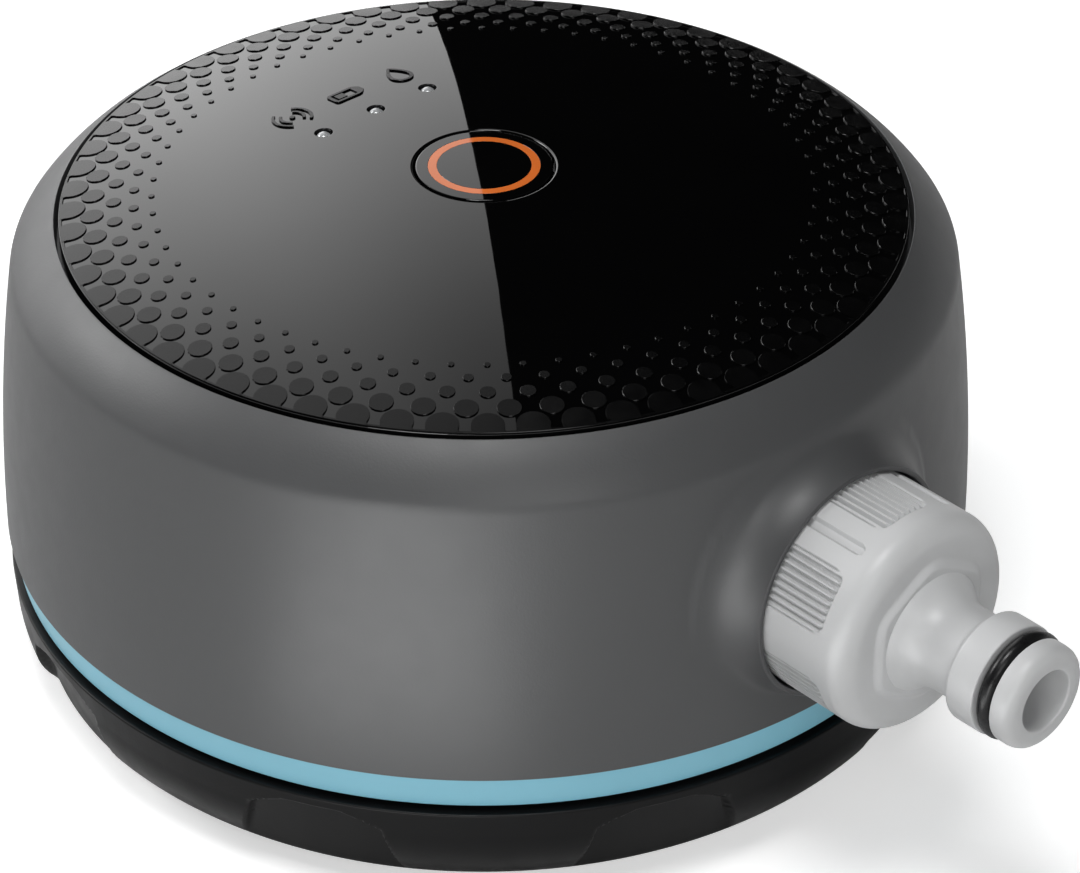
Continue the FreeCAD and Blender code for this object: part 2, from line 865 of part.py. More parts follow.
# Tap connector: nut and nipple moulded in one, with recessed ribbed grips
def grip_panel():
    """Recess in the nut's side with rounded front corners and fine ribs left standing in it."""
    half = math.radians(grip_panel_angle / 2)
    outer = connector_nut_radius + 1
    floor = connector_nut_radius - grip_depth
    start, end, corner = nut_rear - 1, grip_panel_end, 1.6
    span = outer * math.tan(half)
    half_width = connector_nut_radius * math.sin(half)
    frame = Part.Face(Part.Wire([
        Part.makeLine(Vector(0, -half_width, start), Vector(0, half_width, start)),
        Part.makeLine(Vector(0, half_width, start), Vector(0, half_width, end - corner)),
        Part.Arc(Vector(0, half_width, end - corner),
                 Vector(0, half_width - 0.3 * corner, end - 0.3 * corner),
                 Vector(0, half_width - corner, end)).toShape(),
        Part.makeLine(Vector(0, half_width - corner, end), Vector(0, corner - half_width, end)),
        Part.Arc(Vector(0, corner - half_width, end),
                 Vector(0, 0.3 * corner - half_width, end - 0.3 * corner),
                 Vector(0, -half_width, end - corner)).toShape(),
        Part.makeLine(Vector(0, -half_width, end - corner), Vector(0, -half_width, start)),
    ]))
    cutter = frame.extrude(Vector(outer, 0, 0))
    cutter = cutter.common(tube(floor, outer + span, start, end + 1))
    pitch = grip_panel_angle / grip_ribs
    for k in range(grip_ribs):
        angle = grip_panel_angle * (k + 0.5) / grip_ribs - grip_panel_angle / 2
        low = math.radians(pitch * 0.30) * floor
        tip = connector_nut_radius - 0.12
        rib = Part.Face(Part.makePolygon([
            Vector(floor - 0.2, -low, start), Vector(tip, -low * 0.35, start),
            Vector(tip, low * 0.35, start), Vector(floor - 0.2, low, start),
            Vector(floor - 0.2, -low, start)])).extrude(Vector(0, 0, end - start - 0.5))
        cutter = cutter.cut(spun(rib, angle))
    return cutter


def outlet_connector():
    front = connector_nut_front
    fillet = connector_nut_fillet
    soft = fillet * (1 - math.sqrt(0.5))
    tip = nipple_tip_rear
    groove_radius = nipple_tip_radius + 0.33 - o_ring_section - 0.05
    neck = nipple_neck_radius
    nose = nipple_nose
    nose_soft = nose * (1 - math.sqrt(0.5))
    solid = turned(
        (thread_radius + running_gap, nut_rear),
        (connector_nut_radius - 0.5, nut_rear),
        (connector_nut_radius, nut_rear + 0.5),
        (connector_nut_radius, front - fillet),
        ("arc", (connector_nut_radius - soft, front - soft),
         (connector_nut_radius - fillet, front)),
        (nipple_foot_radius, front),
        (nipple_foot_radius, front + pad_height),
        ("arc", (neck + 0.7, (front + nipple_neck_start) / 2), (neck, nipple_neck_start)),
        (neck, collar_rear - 1.0),
        (nipple_collar_radius - 0.6, collar_rear),
        (nipple_collar_radius, collar_rear + 0.6),
        (nipple_collar_radius, groove_rear - 0.3),
        (nipple_collar_radius - 0.3, groove_rear),
        (groove_radius, groove_rear),
        (groove_radius, tip),
        (nipple_tip_radius, tip),
        (nipple_tip_radius, nipple_end - nose),
        ("arc", (nipple_tip_radius - nose_soft, nipple_end - nose_soft),
         (nipple_tip_radius - nose, nipple_end)),
        (nipple_bore + 0.4, nipple_end),
        (nipple_bore, nipple_end - 0.4),
        (nipple_bore, washer_front + 4),
        (spigot_bore, washer_front),
        (thread_radius + running_gap, washer_front),
    )
    corners = [Vector(*polar(pad_radius, 60 * k + 30), front - 0.5) for k in range(7)]
    pad = Part.Face(Part.makePolygon(corners)).extrude(Vector(0, 0, pad_height + 0.5))
    pad = pad.common(tube(nipple_foot_radius - 1.5, pad_radius - 0.5, front - 1, front + pad_height + 1))
    solid = solid.fuse(pad)
    cutter = grip_panel()
    groove = block(connector_nut_radius - grip_groove_depth, connector_nut_radius + 2,
                   -grip_groove_width / 2, grip_groove_width / 2, nut_rear - 1, grip_panel_end)
    for k in range(grip_panels):
        angle = 360 * k / grip_panels
        solid = solid.cut(spun(cutter, 90 + angle))
        if k % 3 != 1:
            solid = solid.cut(spun(groove, 120 + angle))
    return towards_outlet(solid.removeSplitter())


def connector_washer():
    return towards_outlet(tube(spigot_bore + 0.2, thread_radius - 0.3, washer_rear, washer_front))


def nipple_o_ring():
    outer = nipple_tip_radius + 0.33
    ring = Part.makeTorus(outer - o_ring_section / 2, o_ring_section / 2)
    return towards_outlet(at(ring, 0, 0, nipple_tip_rear - 0.15 - o_ring_section / 2))


# Valve body: barrel, drum with the seat, clamped flange with screw bosses
def bonnet_angles():
    return [30 + 360 * k / bonnet_screws for k in range(bonnet_screws)]


def bead_groove():
    return chamber_radius + 0.9, chamber_radius + 3.7


def valve_body():
    drum = rod(drum_radius, chamber_floor - 2.7, flange_top - 1)
    barrel = towards_outlet(rod(barrel_radius, -inlet_barrel_end, outlet_barrel_end))
    flange = rod(flange_radius, flange_top - flange_thickness, flange_top)
    bosses = [rod(3.4, flange_top - 9, flange_top, *polar(bonnet_screw_circle, a)) for a in bonnet_angles()]
    solid = join([drum, barrel, flange] + bosses)
    reach = 2 * body_radius
    solid = solid.cut(towards_outlet(rod(water_bore, 0, reach)))
    solid = solid.cut(towards_outlet(
        rod(plug_radius + snug_gap, outlet_barrel_end - outlet_socket_depth, outlet_barrel_end + 1)))
    solid = solid.cut(towards_inlet(rod(water_bore, chamber_radius / 2 + 4, reach)))
    solid = solid.cut(towards_inlet(
        rod(plug_radius + snug_gap, inlet_barrel_end - inlet_socket_depth, inlet_barrel_end + 1)))
    solid = solid.cut(rod(seat_bore, outlet_height, flange_top + 1))
    way_up = (seat_bore + seat_wall + chamber_radius) / 2 + 0.6
    solid = solid.cut(rod(4.6, outlet_height, flange_top + 1, 0, way_up))
    solid = solid.cut(tube(seat_bore + seat_wall, chamber_radius, chamber_floor, flange_top + 1))
    solid = solid.cut(tube(0, seat_bore + seat_wall + 0.1, seat_top, flange_top + 1))
    solid = solid.cut(rod(flange_radius + 1, flange_top, flange_top + 2 * barrel_radius))
    groove_in, groove_out = bead_groove()
    solid = solid.cut(tube(groove_in, groove_out, flange_top - 1.2, flange_top + 1))
    for angle in bonnet_angles():
        x, y = polar(bonnet_screw_circle, angle)
        solid = solid.cut(rod(bonnet_screw_radius, flange_top - 6, flange_top + 1, x, y))
    return solid.removeSplitter()


def diaphragm():
    groove_in, groove_out = bead_groove()
    seat_face = seat_top
    middle = seat_bore + seat_wall + 0.8
    return turned(
        (0, seat_face),
        (middle, seat_face),
        (middle + 1.6, flange_top),
        (groove_in + 0.1, flange_top),
        (groove_in + 0.1, flange_top - 1.1),
        (groove_out - 0.1, flange_top - 1.1),
        (groove_out - 0.1, flange_top),
        (groove_out + 0.6, flange_top),
        (groove_out + 0.6, bonnet_bottom),
        (middle + 1.2, bonnet_bottom),
        (middle, bonnet_bottom - 0.4),
        (0, bonnet_bottom - 0.4),
    )


def diaphragm_plate():
    low = bonnet_bottom - 0.4
    return turned((0, low), (seat_bore + 1.2, low), (seat_bore + 1.2, low + 1.2), (3.4, low + 1.2),
                  (3.4, low + 2.0), (0, low + 2.0))


def coil_spring(radius, wire, low, high, turns):
    """Compression spring with a round wire, drawn from one helix."""
    pitch = (high - low - wire) / turns
    helix = Part.makeHelix(pitch, pitch * turns, radius)
    section = Part.Wire(Part.makeCircle(wire / 2, Vector(radius, 0, 0), Vector(0, 1, 0)))
    spring = Part.Wire(helix).makePipeShell([section], True, False)
    return at(spring, 0, 0, low + wire / 2)


def diaphragm_spring():
    low = bonnet_bottom - 0.4 + 1.2
    return coil_spring(5.2, 0.6, low, bonnet_top - bonnet_roof - 0.05, 2)


def bonnet():
    arm_half = coil_screw_reach + 3.0
    disc = rod(flange_radius, bonnet_bottom, bonnet_top)
    arm = block(0, solenoid_offset, -12, 12, bonnet_bottom, bonnet_top)
    head = block(solenoid_offset - 6, solenoid_offset + 6, -arm_half, arm_half,
                 bonnet_bottom, bonnet_top)
    end = rod(12, bonnet_bottom, bonnet_top, solenoid_offset, 0)
    nozzle = rod(2.2, plunger_top, bonnet_bottom + 1, solenoid_offset, 0)
    solid = join([disc, arm, head, end, nozzle])
    solid = solid.cut(rod(chamber_radius, bonnet_bottom - 1, bonnet_top - bonnet_roof))
    solid = solid.cut(rod(0.8, plunger_top - 1, bonnet_top - bonnet_roof, solenoid_offset, 0))
    channel = rod(1.2, 0, solenoid_offset - chamber_radius + 1)
    channel = moved(channel, Placement(Vector(chamber_radius - 1, 0, bonnet_top - bonnet_roof - 1.3),
                                       Rotation(Vector(0, 1, 0), 90)))
    solid = solid.cut(channel)
    for angle in bonnet_angles():
        x, y = polar(bonnet_screw_circle, angle)
        solid = solid.cut(rod(bonnet_screw_radius + 0.2, bonnet_bottom - 1, bonnet_top + 1, x, y))
        solid = solid.cut(rod(screw_head_radius + 0.2, bonnet_top - 2.4, bonnet_top + 1, x, y))
    for side in (-1, 1):
        hole = rod(1.3, bonnet_bottom - 1, bonnet_bottom + 5, solenoid_offset, side * coil_screw_reach)
        solid = solid.cut(hole)
    return solid.removeSplitter()


def bonnet_screw_set():
    length = bonnet_height - 2.4 + membrane + 5.6
    one = moved(screw(bonnet_screw_radius - snug_gap, screw_head_radius, 2.2, length),
                Placement(Vector(0, 0, bonnet_top - 2.4), Rotation(Vector(1, 0, 0), 180)))
    return group([at(one, *polar(bonnet_screw_circle, angle)) for angle in bonnet_angles()])


# Solenoid that hangs under the bonnet's arm
def coil_case():
    top = coil_top
    hole = plunger_radius + running_gap + tube_wall + snug_gap
    shell = tube(hole, coil_case_radius, coil_bottom, top)
    shell = shell.cut(tube(hole, coil_case_radius - 1.4, coil_bottom + 2.0, top - 1.7))
    far = coil_screw_reach + 2.8
    ears = [block(-4, 4, a, b, top - 1.7, bonnet_bottom) for a, b in ((-far, -8.6), (8.6, far))]
    solid = join([shell] + ears)
    solid = solid.cut(rod(8.4, top, bonnet_bottom + 1))
    for s in (-1, 1):
        solid = solid.cut(rod(1.6, coil_bottom, bonnet_bottom + 1, 0, s * coil_screw_reach))
    return at(solid, solenoid_offset, 0)


def coil_screws():
    one = screw(1.2, 2.4, 1.8, 6.2)
    return group([at(one, solenoid_offset, s * coil_screw_reach, bonnet_bottom - 2.8) for s in (-1, 1)])


def coil_winding():
    inner = plunger_radius + running_gap + tube_wall + 0.2
    winding = tube(inner, coil_case_radius - 1.6, coil_bottom + 2.1, coil_top - 1.8)
    return at(winding, solenoid_offset, 0)


def core_tube():
    bore = plunger_radius + running_gap
    low = coil_bottom
    solid = turned(
        (bore, low), (bore + tube_wall, low), (bore + tube_wall, bonnet_bottom - 1.0),
        (8.2, bonnet_bottom - 1.0), (8.2, bonnet_bottom), (bore, bonnet_bottom))
    return at(solid, solenoid_offset, 0)


def plunger_bottom():
    return plunger_top - plunger_length


def fixed_core():
    top = plunger_bottom() - plunger_travel - 0.2
    return at(rod(plunger_radius + running_gap - 0.04, coil_bottom, top), solenoid_offset, 0)


def plunger():
    solid = rod(plunger_radius, plunger_bottom(), plunger_top)
    solid = solid.cut(rod(3.4, plunger_bottom() - 1, plunger_bottom() + 6))
    return at(solid, solenoid_offset, 0)


def plunger_spring():
    low = plunger_bottom() - plunger_travel - 0.15
    return at(coil_spring(2.6, 0.7, low, plunger_bottom() + 5.9, 5), solenoid_offset, 0)


# Chassis: plate with saddles that carry the valve's barrel
def chassis():
    plate = tube(0, chassis_radius, chassis_bottom, chassis_top)
    solids = [plate]
    for y in (-saddle_offset, saddle_offset):
        half = saddle_length / 2
        reach = barrel_radius + clamp_thickness + clamp_ear
        solids.append(block(-reach, reach, y - half, y + half, chassis_top - 0.5, outlet_height - 0.2))
    solid = join(solids)
    solid = solid.cut(towards_outlet(rod(barrel_radius + snug_gap, -body_radius, body_radius)))
    for angle in post_angles:
        x, y = polar(post_circle, angle)
        solid = solid.cut(rod(screw_shank_radius + 0.2, chassis_bottom - 1, chassis_top + 1, x, y))
    for x, y in clamp_places():
        solid = solid.cut(rod(1.4, outlet_height - 12, outlet_height, x, y))
    pocket_way = inlet_nut_radius + pocket_gap + pocket_wall + seat_gap
    solid = solid.cut(towards_inlet(rod(pocket_way, pocket_back() - seat_gap, body_radius)))
    wire_way = block(wire_way_x, wire_way_x + wire_way_width, -2 * wire_way_width, 2 * wire_way_width,
                     chassis_bottom - 1, chassis_top + 1)
    return solid.cut(wire_way)


def clamp_places():
    reach = barrel_radius + clamp_thickness + clamp_ear / 2
    return [(sx * reach, sy * saddle_offset) for sx in (-1, 1) for sy in (-1, 1)]


def barrel_clamps():
    pieces = []
    half = saddle_length / 2
    for y in (-saddle_offset, saddle_offset):
        arch = tube(barrel_radius + snug_gap, barrel_radius + clamp_thickness, -y - half, -y + half)
        arch = towards_outlet(arch)
        arch = arch.common(block(-30, 30, y - half, y + half, outlet_height, outlet_height + 30))
        near = barrel_radius + 0.5
        far = barrel_radius + clamp_thickness + clamp_ear
        ears = [block(a, b, y - half, y + half, outlet_height, outlet_height + 2.4)
                for a, b in ((-far, -near), (near, far))]
        piece = join([arch] + ears)
        for x, place in clamp_places():
            if abs(place - y) < 1:
                piece = piece.cut(rod(1.7, outlet_height - 1, outlet_height + 4, x, y))
        pieces.append(piece)
    return group(pieces)


def clamp_screws():
    head_seat = Placement(Vector(0, 0, outlet_height + 2.4), Rotation(Vector(1, 0, 0), 180))
    one = moved(screw(1.3, 2.6, 1.8, clamp_screw_length), head_seat)
    return group([at(one, x, y) for x, y in clamp_places()])


def chassis_screws():
    shank = screw_shank_radius - snug_gap
    one = screw(shank, screw_head_radius, screw_head_height, chassis_screw_length)
    return group([at(one, *polar(post_circle, angle), chassis_bottom) for angle in post_angles])


# Battery tray, open downwards, with four cells lying side by side
def cell_places():
    return [cell_pitch * (k - (cell_count - 1) / 2) for k in range(cell_count)]


def battery_tray():
    low = cell_axis - 2.0
    outer = block(-tray_half_x - tray_wall, tray_half_x + tray_wall, -tray_half_y - tray_wall,
                  tray_half_y + tray_wall, low, tray_top)
    inner = block(-tray_half_x, tray_half_x, -tray_half_y, tray_half_y, low - 1, tray_top - tray_wall)
    solid = outer.cut(inner)
    ribs = []
    for k in range(1, cell_count):
        x = -tray_half_x + k * cell_pitch
        ribs.append(block(x - 0.3, x + 0.3, -tray_half_y, tray_half_y,
                          cell_axis + 3.4, tray_top - tray_wall + 0.1))
    return join([solid] + ribs)


def batteries():
    cells = []
    span = cell_length + cell_nub_length
    for k, x in enumerate(cell_places()):
        solid = join([rod(cell_radius, 0, cell_length), rod(cell_nub_radius, cell_length - 0.1, span)])
        turn = 90 if k % 2 else -90
        start = span / 2 - (tray_half_y - contact_thickness - span / 2)
        solid = moved(solid, Placement(Vector(x, start if k % 2 else -start, cell_axis),
                                       Rotation(Vector(1, 0, 0), turn)))
        cells.append(solid)
    return group(cells)


def battery_contacts():
    pieces = []
    for k, x in enumerate(cell_places()):
        side = -1 if k % 2 else 1
        wall_y = side * tray_half_y
        half = contact_width / 2
        plate = block(x - half, x + half, min(wall_y, wall_y - side * contact_thickness),
                      max(wall_y, wall_y - side * contact_thickness), cell_axis - 1.9, cell_axis + half)
        pieces.append(plate)
        depth = 2 * tray_half_y - contact_thickness - cell_length - cell_nub_length
        peak = -wall_y + side * (depth - 0.02)
        half = leaf_width / 2
        leaf_outer = [Vector(x - half, -wall_y, 0), Vector(x, peak, 0), Vector(x + half, -wall_y, 0)]
        hollow = -wall_y + side * (depth - 0.5)
        half = half - 0.7
        leaf_inner = [Vector(x + half, -wall_y, 0), Vector(x, hollow, 0), Vector(x - half, -wall_y, 0)]
        wire = Part.Wire([
            Part.Arc(*leaf_outer).toShape(),
            Part.makeLine(leaf_outer[2], leaf_inner[0]),
            Part.Arc(*leaf_inner).toShape(),
            Part.makeLine(leaf_inner[2], leaf_outer[0]),
        ])
        leaf = Part.Face(wire).extrude(Vector(0, 0, leaf_height))
        pieces.append(at(leaf, 0, 0, cell_axis - 1.5))
    return group(pieces)


pieces = {
    "housing": housing,
    "accent_ring": accent_ring,
    "top_panel": top_panel,
    "panel_seal": panel_seal,
    "button_cap": button_cap,
    "button_ring": button_ring,
    "switch_dome": switch_dome,
    "indicator_lenses": indicator_lenses,
    "status_leds": status_leds,
    "circuit_board": circuit_board,
    "board_screws": board_screws,
    "radio_module": radio_module,
    "board_connector": board_connector,
    "battery_cover": battery_cover,
    "cover_seal": cover_seal,
    "outlet_spigot": outlet_spigot,
    "spigot_clips": spigot_clips,
    "spigot_seals": spigot_seals,
    "outlet_connector": outlet_connector,
    "connector_washer": connector_washer,
    "nipple_o_ring": nipple_o_ring,
    "inlet_spigot": inlet_spigot,
    "inlet_nut": inlet_nut,
    "nut_clip": nut_clip,
    "inlet_strainer": inlet_strainer,
    "inlet_washer": inlet_washer,
    "valve_body": valve_body,
    "valve_bonnet": bonnet,
    "bonnet_screws": bonnet_screw_set,
    "diaphragm": diaphragm,
    "diaphragm_plate": diaphragm_plate,
    "diaphragm_spring": diaphragm_spring,
    "coil_case": coil_case,
    "coil_screws": coil_screws,
    "coil_winding": coil_winding,
    "core_tube": core_tube,
    "fixed_core": fixed_core,
    "plunger": plunger,
    "plunger_spring": plunger_spring,
    "chassis": chassis,
    "chassis_screws": chassis_screws,
    "barrel_clamps": barrel_clamps,
    "clamp_screws": clamp_screws,
    "battery_tray": battery_tray,
    "batteries": batteries,
    "battery_contacts": battery_contacts,
}

os.makedirs("parts", exist_ok=True)
for name, make in pieces.items():
    shape = make()
    print(name, "solids", len(shape.Solids), "valid", shape.isValid(), "volume", round(shape.Volume, 1))
    shape.exportStep("parts/" + name + ".step")
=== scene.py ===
import json
import math
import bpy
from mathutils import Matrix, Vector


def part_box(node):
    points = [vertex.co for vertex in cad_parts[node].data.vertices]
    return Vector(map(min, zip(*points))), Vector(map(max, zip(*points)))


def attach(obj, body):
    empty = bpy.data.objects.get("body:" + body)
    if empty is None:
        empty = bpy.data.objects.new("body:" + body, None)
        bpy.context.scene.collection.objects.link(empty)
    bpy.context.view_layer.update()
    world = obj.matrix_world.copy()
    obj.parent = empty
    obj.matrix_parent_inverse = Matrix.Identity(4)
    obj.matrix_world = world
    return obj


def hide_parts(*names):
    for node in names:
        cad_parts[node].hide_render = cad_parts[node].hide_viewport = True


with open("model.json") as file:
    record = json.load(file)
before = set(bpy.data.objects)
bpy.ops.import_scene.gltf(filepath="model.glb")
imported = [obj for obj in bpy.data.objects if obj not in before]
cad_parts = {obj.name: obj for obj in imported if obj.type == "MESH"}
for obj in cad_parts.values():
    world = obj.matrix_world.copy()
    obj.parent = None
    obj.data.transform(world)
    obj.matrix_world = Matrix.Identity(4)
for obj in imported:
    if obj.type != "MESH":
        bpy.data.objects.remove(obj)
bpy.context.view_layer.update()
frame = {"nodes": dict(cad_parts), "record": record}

from types import SimpleNamespace

import bmesh
import bpy
import numpy as np
from bpy.props import FloatProperty, FloatVectorProperty, IntProperty, PointerProperty
from mathutils import Vector

bl_info = {
    "name": "Garden water valve dressing",
    "version": (1, 0, 0),
    "blender": (4, 5, 0),
    "location": "3D View > Sidebar > Valve",
    "description": "Builds the surfaces, finishes and studio of a round battery-powered hose valve",
    "category": "Mesh",
}

HOUSING_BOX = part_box("housing")
COVER_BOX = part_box("battery_cover")
CONNECTOR_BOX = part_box("outlet_connector")
NUT_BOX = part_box("inlet_nut")
BUTTON_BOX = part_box("button_cap")
FULL_TURN = 2 * math.pi
FLARE_REACH = 5.4  # how much wider the outlet boss is at the foot of its flare, in millimetres


# ---------------------------------------------------------------- sizes and colours

def length(name, description, default):
    """A size in metres that a user can change."""
    return FloatProperty(name=name, description=description, default=default, unit="LENGTH", precision=5,
                         min=0.0)


def colour(name, description, default):
    """A colour that a user can change."""
    return FloatVectorProperty(name=name, description=description, default=default, subtype="COLOR", size=3,
                               min=0.0, max=1.0)


class BodySizes(bpy.types.PropertyGroup):
    radius: length("Body radius", "Radius of the housing just above the blue ring", HOUSING_BOX[1].x)
    wall_foot: length("Wall foot", "Height of the housing wall's lower edge", 0.0244)
    crease_radius: length("Crease radius", "Radius where the wall turns into the shoulder", 0.0715)
    crease_height: length("Crease height", "Height where the wall turns into the shoulder", 0.0687)
    edge_radius: length("Edge radius", "Radius of the top edge round the face", 0.0645)
    edge_height: length("Edge height", "Height of the top edge round the face", HOUSING_BOX[1].z)
    wall_bulge: length("Wall bulge", "How far the wall's middle stands out from a straight line", 0.00085)
    shoulder_bulge: length("Shoulder bulge", "How far the shoulder stands out from a straight line", 0.0005)
    crease_blend: length("Crease blend", "Reach of the soft blend at the crease", 0.00045)
    outlet_height: length("Outlet height", "Height of the outlet's and the inlet's axis", 0.0466)
    boss_face: length("Boss face", "Distance of the outlet boss's face from the middle", -HOUSING_BOX[0].y)
    boss_radius: length("Boss radius", "Radius of the outlet boss's face", 0.0182)
    boss_recess: length("Boss recess", "Radius of the recess that the connector's nut sits in", 0.0174)
    accent_foot: length("Blue ring foot", "Height of the blue ring's lower edge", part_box("accent_ring")[0].z)


class FaceSizes(bpy.types.PropertyGroup):
    radius: length("Face radius", "Radius of the domed face", 0.0638)
    rise: length("Dome rise", "How far the face's middle stands above its edge", 0.0058)
    edge_height: length("Face edge height", "Height of the face at its edge", 0.0760)
    thickness: length("Face thickness", "Thickness of the face", 0.0026)
    button_hole: length("Button hole", "Radius of the hole for the button", 0.0107)
    button_radius: length("Button radius", "Radius of the button's cap", 0.0103)
    ring_inner: length("Light ring inside", "Inner radius of the orange ring", 0.0071)
    ring_outer: length("Light ring outside", "Outer radius of the orange ring", 0.00845)
    lens_hole: length("Lens hole", "Radius of the holes for the status lenses", 0.0014)
    lens_pitch: length("Lens pitch", "Distance between the status lenses", 0.01045)
    lens_row: length("Lens row", "Distance of the status lenses from the middle", 0.0250)
    dot_height: length("Dot height", "How far the raised dots stand above the face", 0.0002)
    dots_per_ring: IntProperty(name="Dots per ring", description="Number of raised dots in each ring",
                               default=62, min=3, max=120)


class CoverSizes(bpy.types.PropertyGroup):
    radius: length("Cover radius", "Radius of the battery cover at its rim", COVER_BOX[1].x)
    height: length("Cover height", "Height of the battery cover's rim", 0.0179)
    corner: length("Corner radius", "Radius of the round corner under the wall", 0.0135)
    floor: length("Floor", "Thickness of the floor", 0.0030)
    recess_count: IntProperty(name="Finger recesses", description="Number of finger recesses", default=9,
                              min=1, max=24)


class ConnectorSizes(bpy.types.PropertyGroup):
    nut_radius: length("Nut radius", "Radius of the connector's nut", CONNECTOR_BOX[1].x)
    nut_rear: length("Nut rear", "Distance of the nut's rear from the middle", -CONNECTOR_BOX[1].y)
    nut_front: length("Nut front", "Distance of the nut's front face from the middle", 0.0930)
    nipple_end: length("Nipple end", "Distance of the nipple's tip from the middle", -CONNECTOR_BOX[0].y)
    thread_radius: length("Thread radius", "Radius over the outlet spigot's thread", 0.0132)
    thread_pitch: length("Thread pitch", "Distance between two turns of the threads", 0.001814)
    inlet_nut_radius: length("Inlet nut radius", "Radius of the inlet's swivel nut", NUT_BOX[1].x)
    inlet_thread_radius: length("Inlet thread radius", "Radius inside the inlet nut's thread", 0.01206)


class FinishColours(bpy.types.PropertyGroup):
    housing: colour("Housing", "Satin dark grey of the housing", (0.062, 0.063, 0.065))
    accent: colour("Blue ring", "Pale blue of the ring round the foot", (0.225, 0.530, 0.660))
    face: colour("Face", "Black of the glossy face", (0.0012, 0.0012, 0.0013))
    light_ring: colour("Light ring", "Orange of the ring in the button", (0.700, 0.160, 0.030))
    cover: colour("Battery cover", "Black of the battery cover", (0.0040, 0.0040, 0.0042))
    connector: colour("Connector", "Pale grey of the connector and the inlet nut", (0.530, 0.535, 0.540))
    rubber: colour("Rubber", "Black of the seals", (0.0080, 0.0080, 0.0085))


class StageSizes(bpy.types.PropertyGroup):
    camera_place: FloatVectorProperty(name="Camera place", description="Where the camera stands", size=3,
                                      default=(-0.33438, -0.38019, 0.37417), subtype="TRANSLATION",
                                      unit="LENGTH")
    camera_view: FloatVectorProperty(name="Camera direction", description="The way the camera looks", size=3,
                                     default=(0.5577, 0.6134, -0.5592), subtype="DIRECTION")
    camera_lens: FloatProperty(name="Lens", description="Focal length in millimetres", default=129.97)


def axis_height(context):
    """Height of the outlet's and the inlet's axis in millimetres."""
    return context.scene.valve_body.outlet_height * 1000


def in_mm(group):
    """A property group's lengths as plain numbers in millimetres, its counts as they are."""
    values = {}
    for name in group.__annotations__:
        value = getattr(group, name)
        values[name] = value if isinstance(value, int) else round(1000 * value, 5)
    return SimpleNamespace(**values)


# ---------------------------------------------------------------- surfaces from whole arrays

class Skin:
    """Grids of points in millimetres and the quads between them, gathered into one closed mesh."""

    def __init__(self):
        self.points = []
        self.quads = []
        self.count = 0

    def add(self, grid):
        """Keep a grid of points, shape (rows, columns, 3), and return the numbers of its points."""
        numbers = self.count + np.arange(grid.shape[0] * grid.shape[1]).reshape(grid.shape[:2])
        self.points.append(grid.reshape(-1, 3))
        self.count += numbers.size
        return numbers

    def weave(self, numbers, closed=False, gaps=()):
        """Quads between neighbours in a grid of point numbers, whose last column joins the first.

        Closed joins the last row to the first as well. A gap (row, row, column, column) is left open.
        """
        if closed:
            numbers = np.concatenate([numbers, numbers[:1]])
        numbers = np.concatenate([numbers, numbers[:, :1]], axis=1)
        quads = np.stack([numbers[:-1, :-1], numbers[:-1, 1:], numbers[1:, 1:], numbers[1:, :-1]], axis=-1)
        keep = np.ones(quads.shape[:2], bool)
        for top, bottom, left, right in gaps:
            keep[top:bottom, left:right] = False
        self.quads.append(quads[keep])

    def turn(self, profile, angles, axis="up", height=0.0, closed=False):
        """Turn a profile (radius, distance) about an axis and weave the surface."""
        self.weave(self.add(turned(profile, angles, axis, height)), closed)

    def finish(self, name, body, material, slot, nodes=(), sharp=32.0):
        """Make the object: points merged, faces outwards, smooth but for edges sharper than an angle."""
        mesh = bpy.data.meshes.new(name)
        points = np.concatenate(self.points) / 1000
        if not np.isfinite(points).all():
            raise ValueError(name + " has points without a place")
        mesh.from_pydata(points.tolist(), [], np.concatenate(self.quads).tolist())
        work = bmesh.new()
        work.from_mesh(mesh)
        bmesh.ops.remove_doubles(work, verts=work.verts, dist=1e-6)
        bmesh.ops.recalc_face_normals(work, faces=work.faces)
        work.to_mesh(mesh)
        work.free()
        mesh.shade_smooth()
        mesh.set_sharp_from_angle(angle=math.radians(sharp))
        piece = bpy.data.objects.new(name, mesh)
        bpy.context.scene.collection.objects.link(piece)
        mesh.materials.append(material)
        if nodes:
            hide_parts(*nodes)
        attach(piece, body)
        return piece


def pairs(a, b):
    """Two numbers or arrays side by side: points in a plane."""
    return np.stack(np.broadcast_arrays(a, b), axis=-1)


def on_circle(centre, radius, turn):
    """Points of a circle: its centre plus radius times (cos, sin) of each angle."""
    return pairs(centre[0] + radius * np.cos(turn), centre[1] + radius * np.sin(turn))


def unit(vectors):
    """The same directions in a plane with length 1."""
    return vectors / np.hypot(*vectors.T)[:, None]


def on_every_angle(profile, angles):
    """A profile's radius and its distance, each over rows and angles, so that they can be pressed in."""
    return profile[:, :1] + 0 * angles, profile[:, 1:2] + 0 * angles


def smoothstep(low, high, x):
    """0 below low, 1 above high, and a smooth S between: 3 t squared less 2 t cubed."""
    t = np.clip((x - low) / (high - low), 0, 1)
    return t * t * (3 - 2 * t)


def soft_min(a, b, reach):
    """The smaller of two values, with a parabola where they differ by less than reach."""
    h = np.maximum(reach - np.abs(a - b), 0) / reach
    return np.minimum(a, b) - h * h * reach / 4


def soft_max(a, b, reach):
    """The larger of two values, blended in the same way."""
    return -soft_min(-a, -b, reach)


def bow_circle(start, end, bulge):
    """Centre and radius of the circle through two points that stands off their chord by bulge, to its right.

    Half chord h and bulge b give the radius (h h + b b) / 2 b; the centre lies radius - b behind the chord.
    """
    start, end = np.array(start, float), np.array(end, float)
    half = np.hypot(*(end - start)) / 2
    normal = np.array([end[1] - start[1], start[0] - end[0]]) / (2 * half)
    radius = (half * half + bulge * bulge) / (2 * bulge)
    return (start + end) / 2 - normal * (radius - bulge), radius


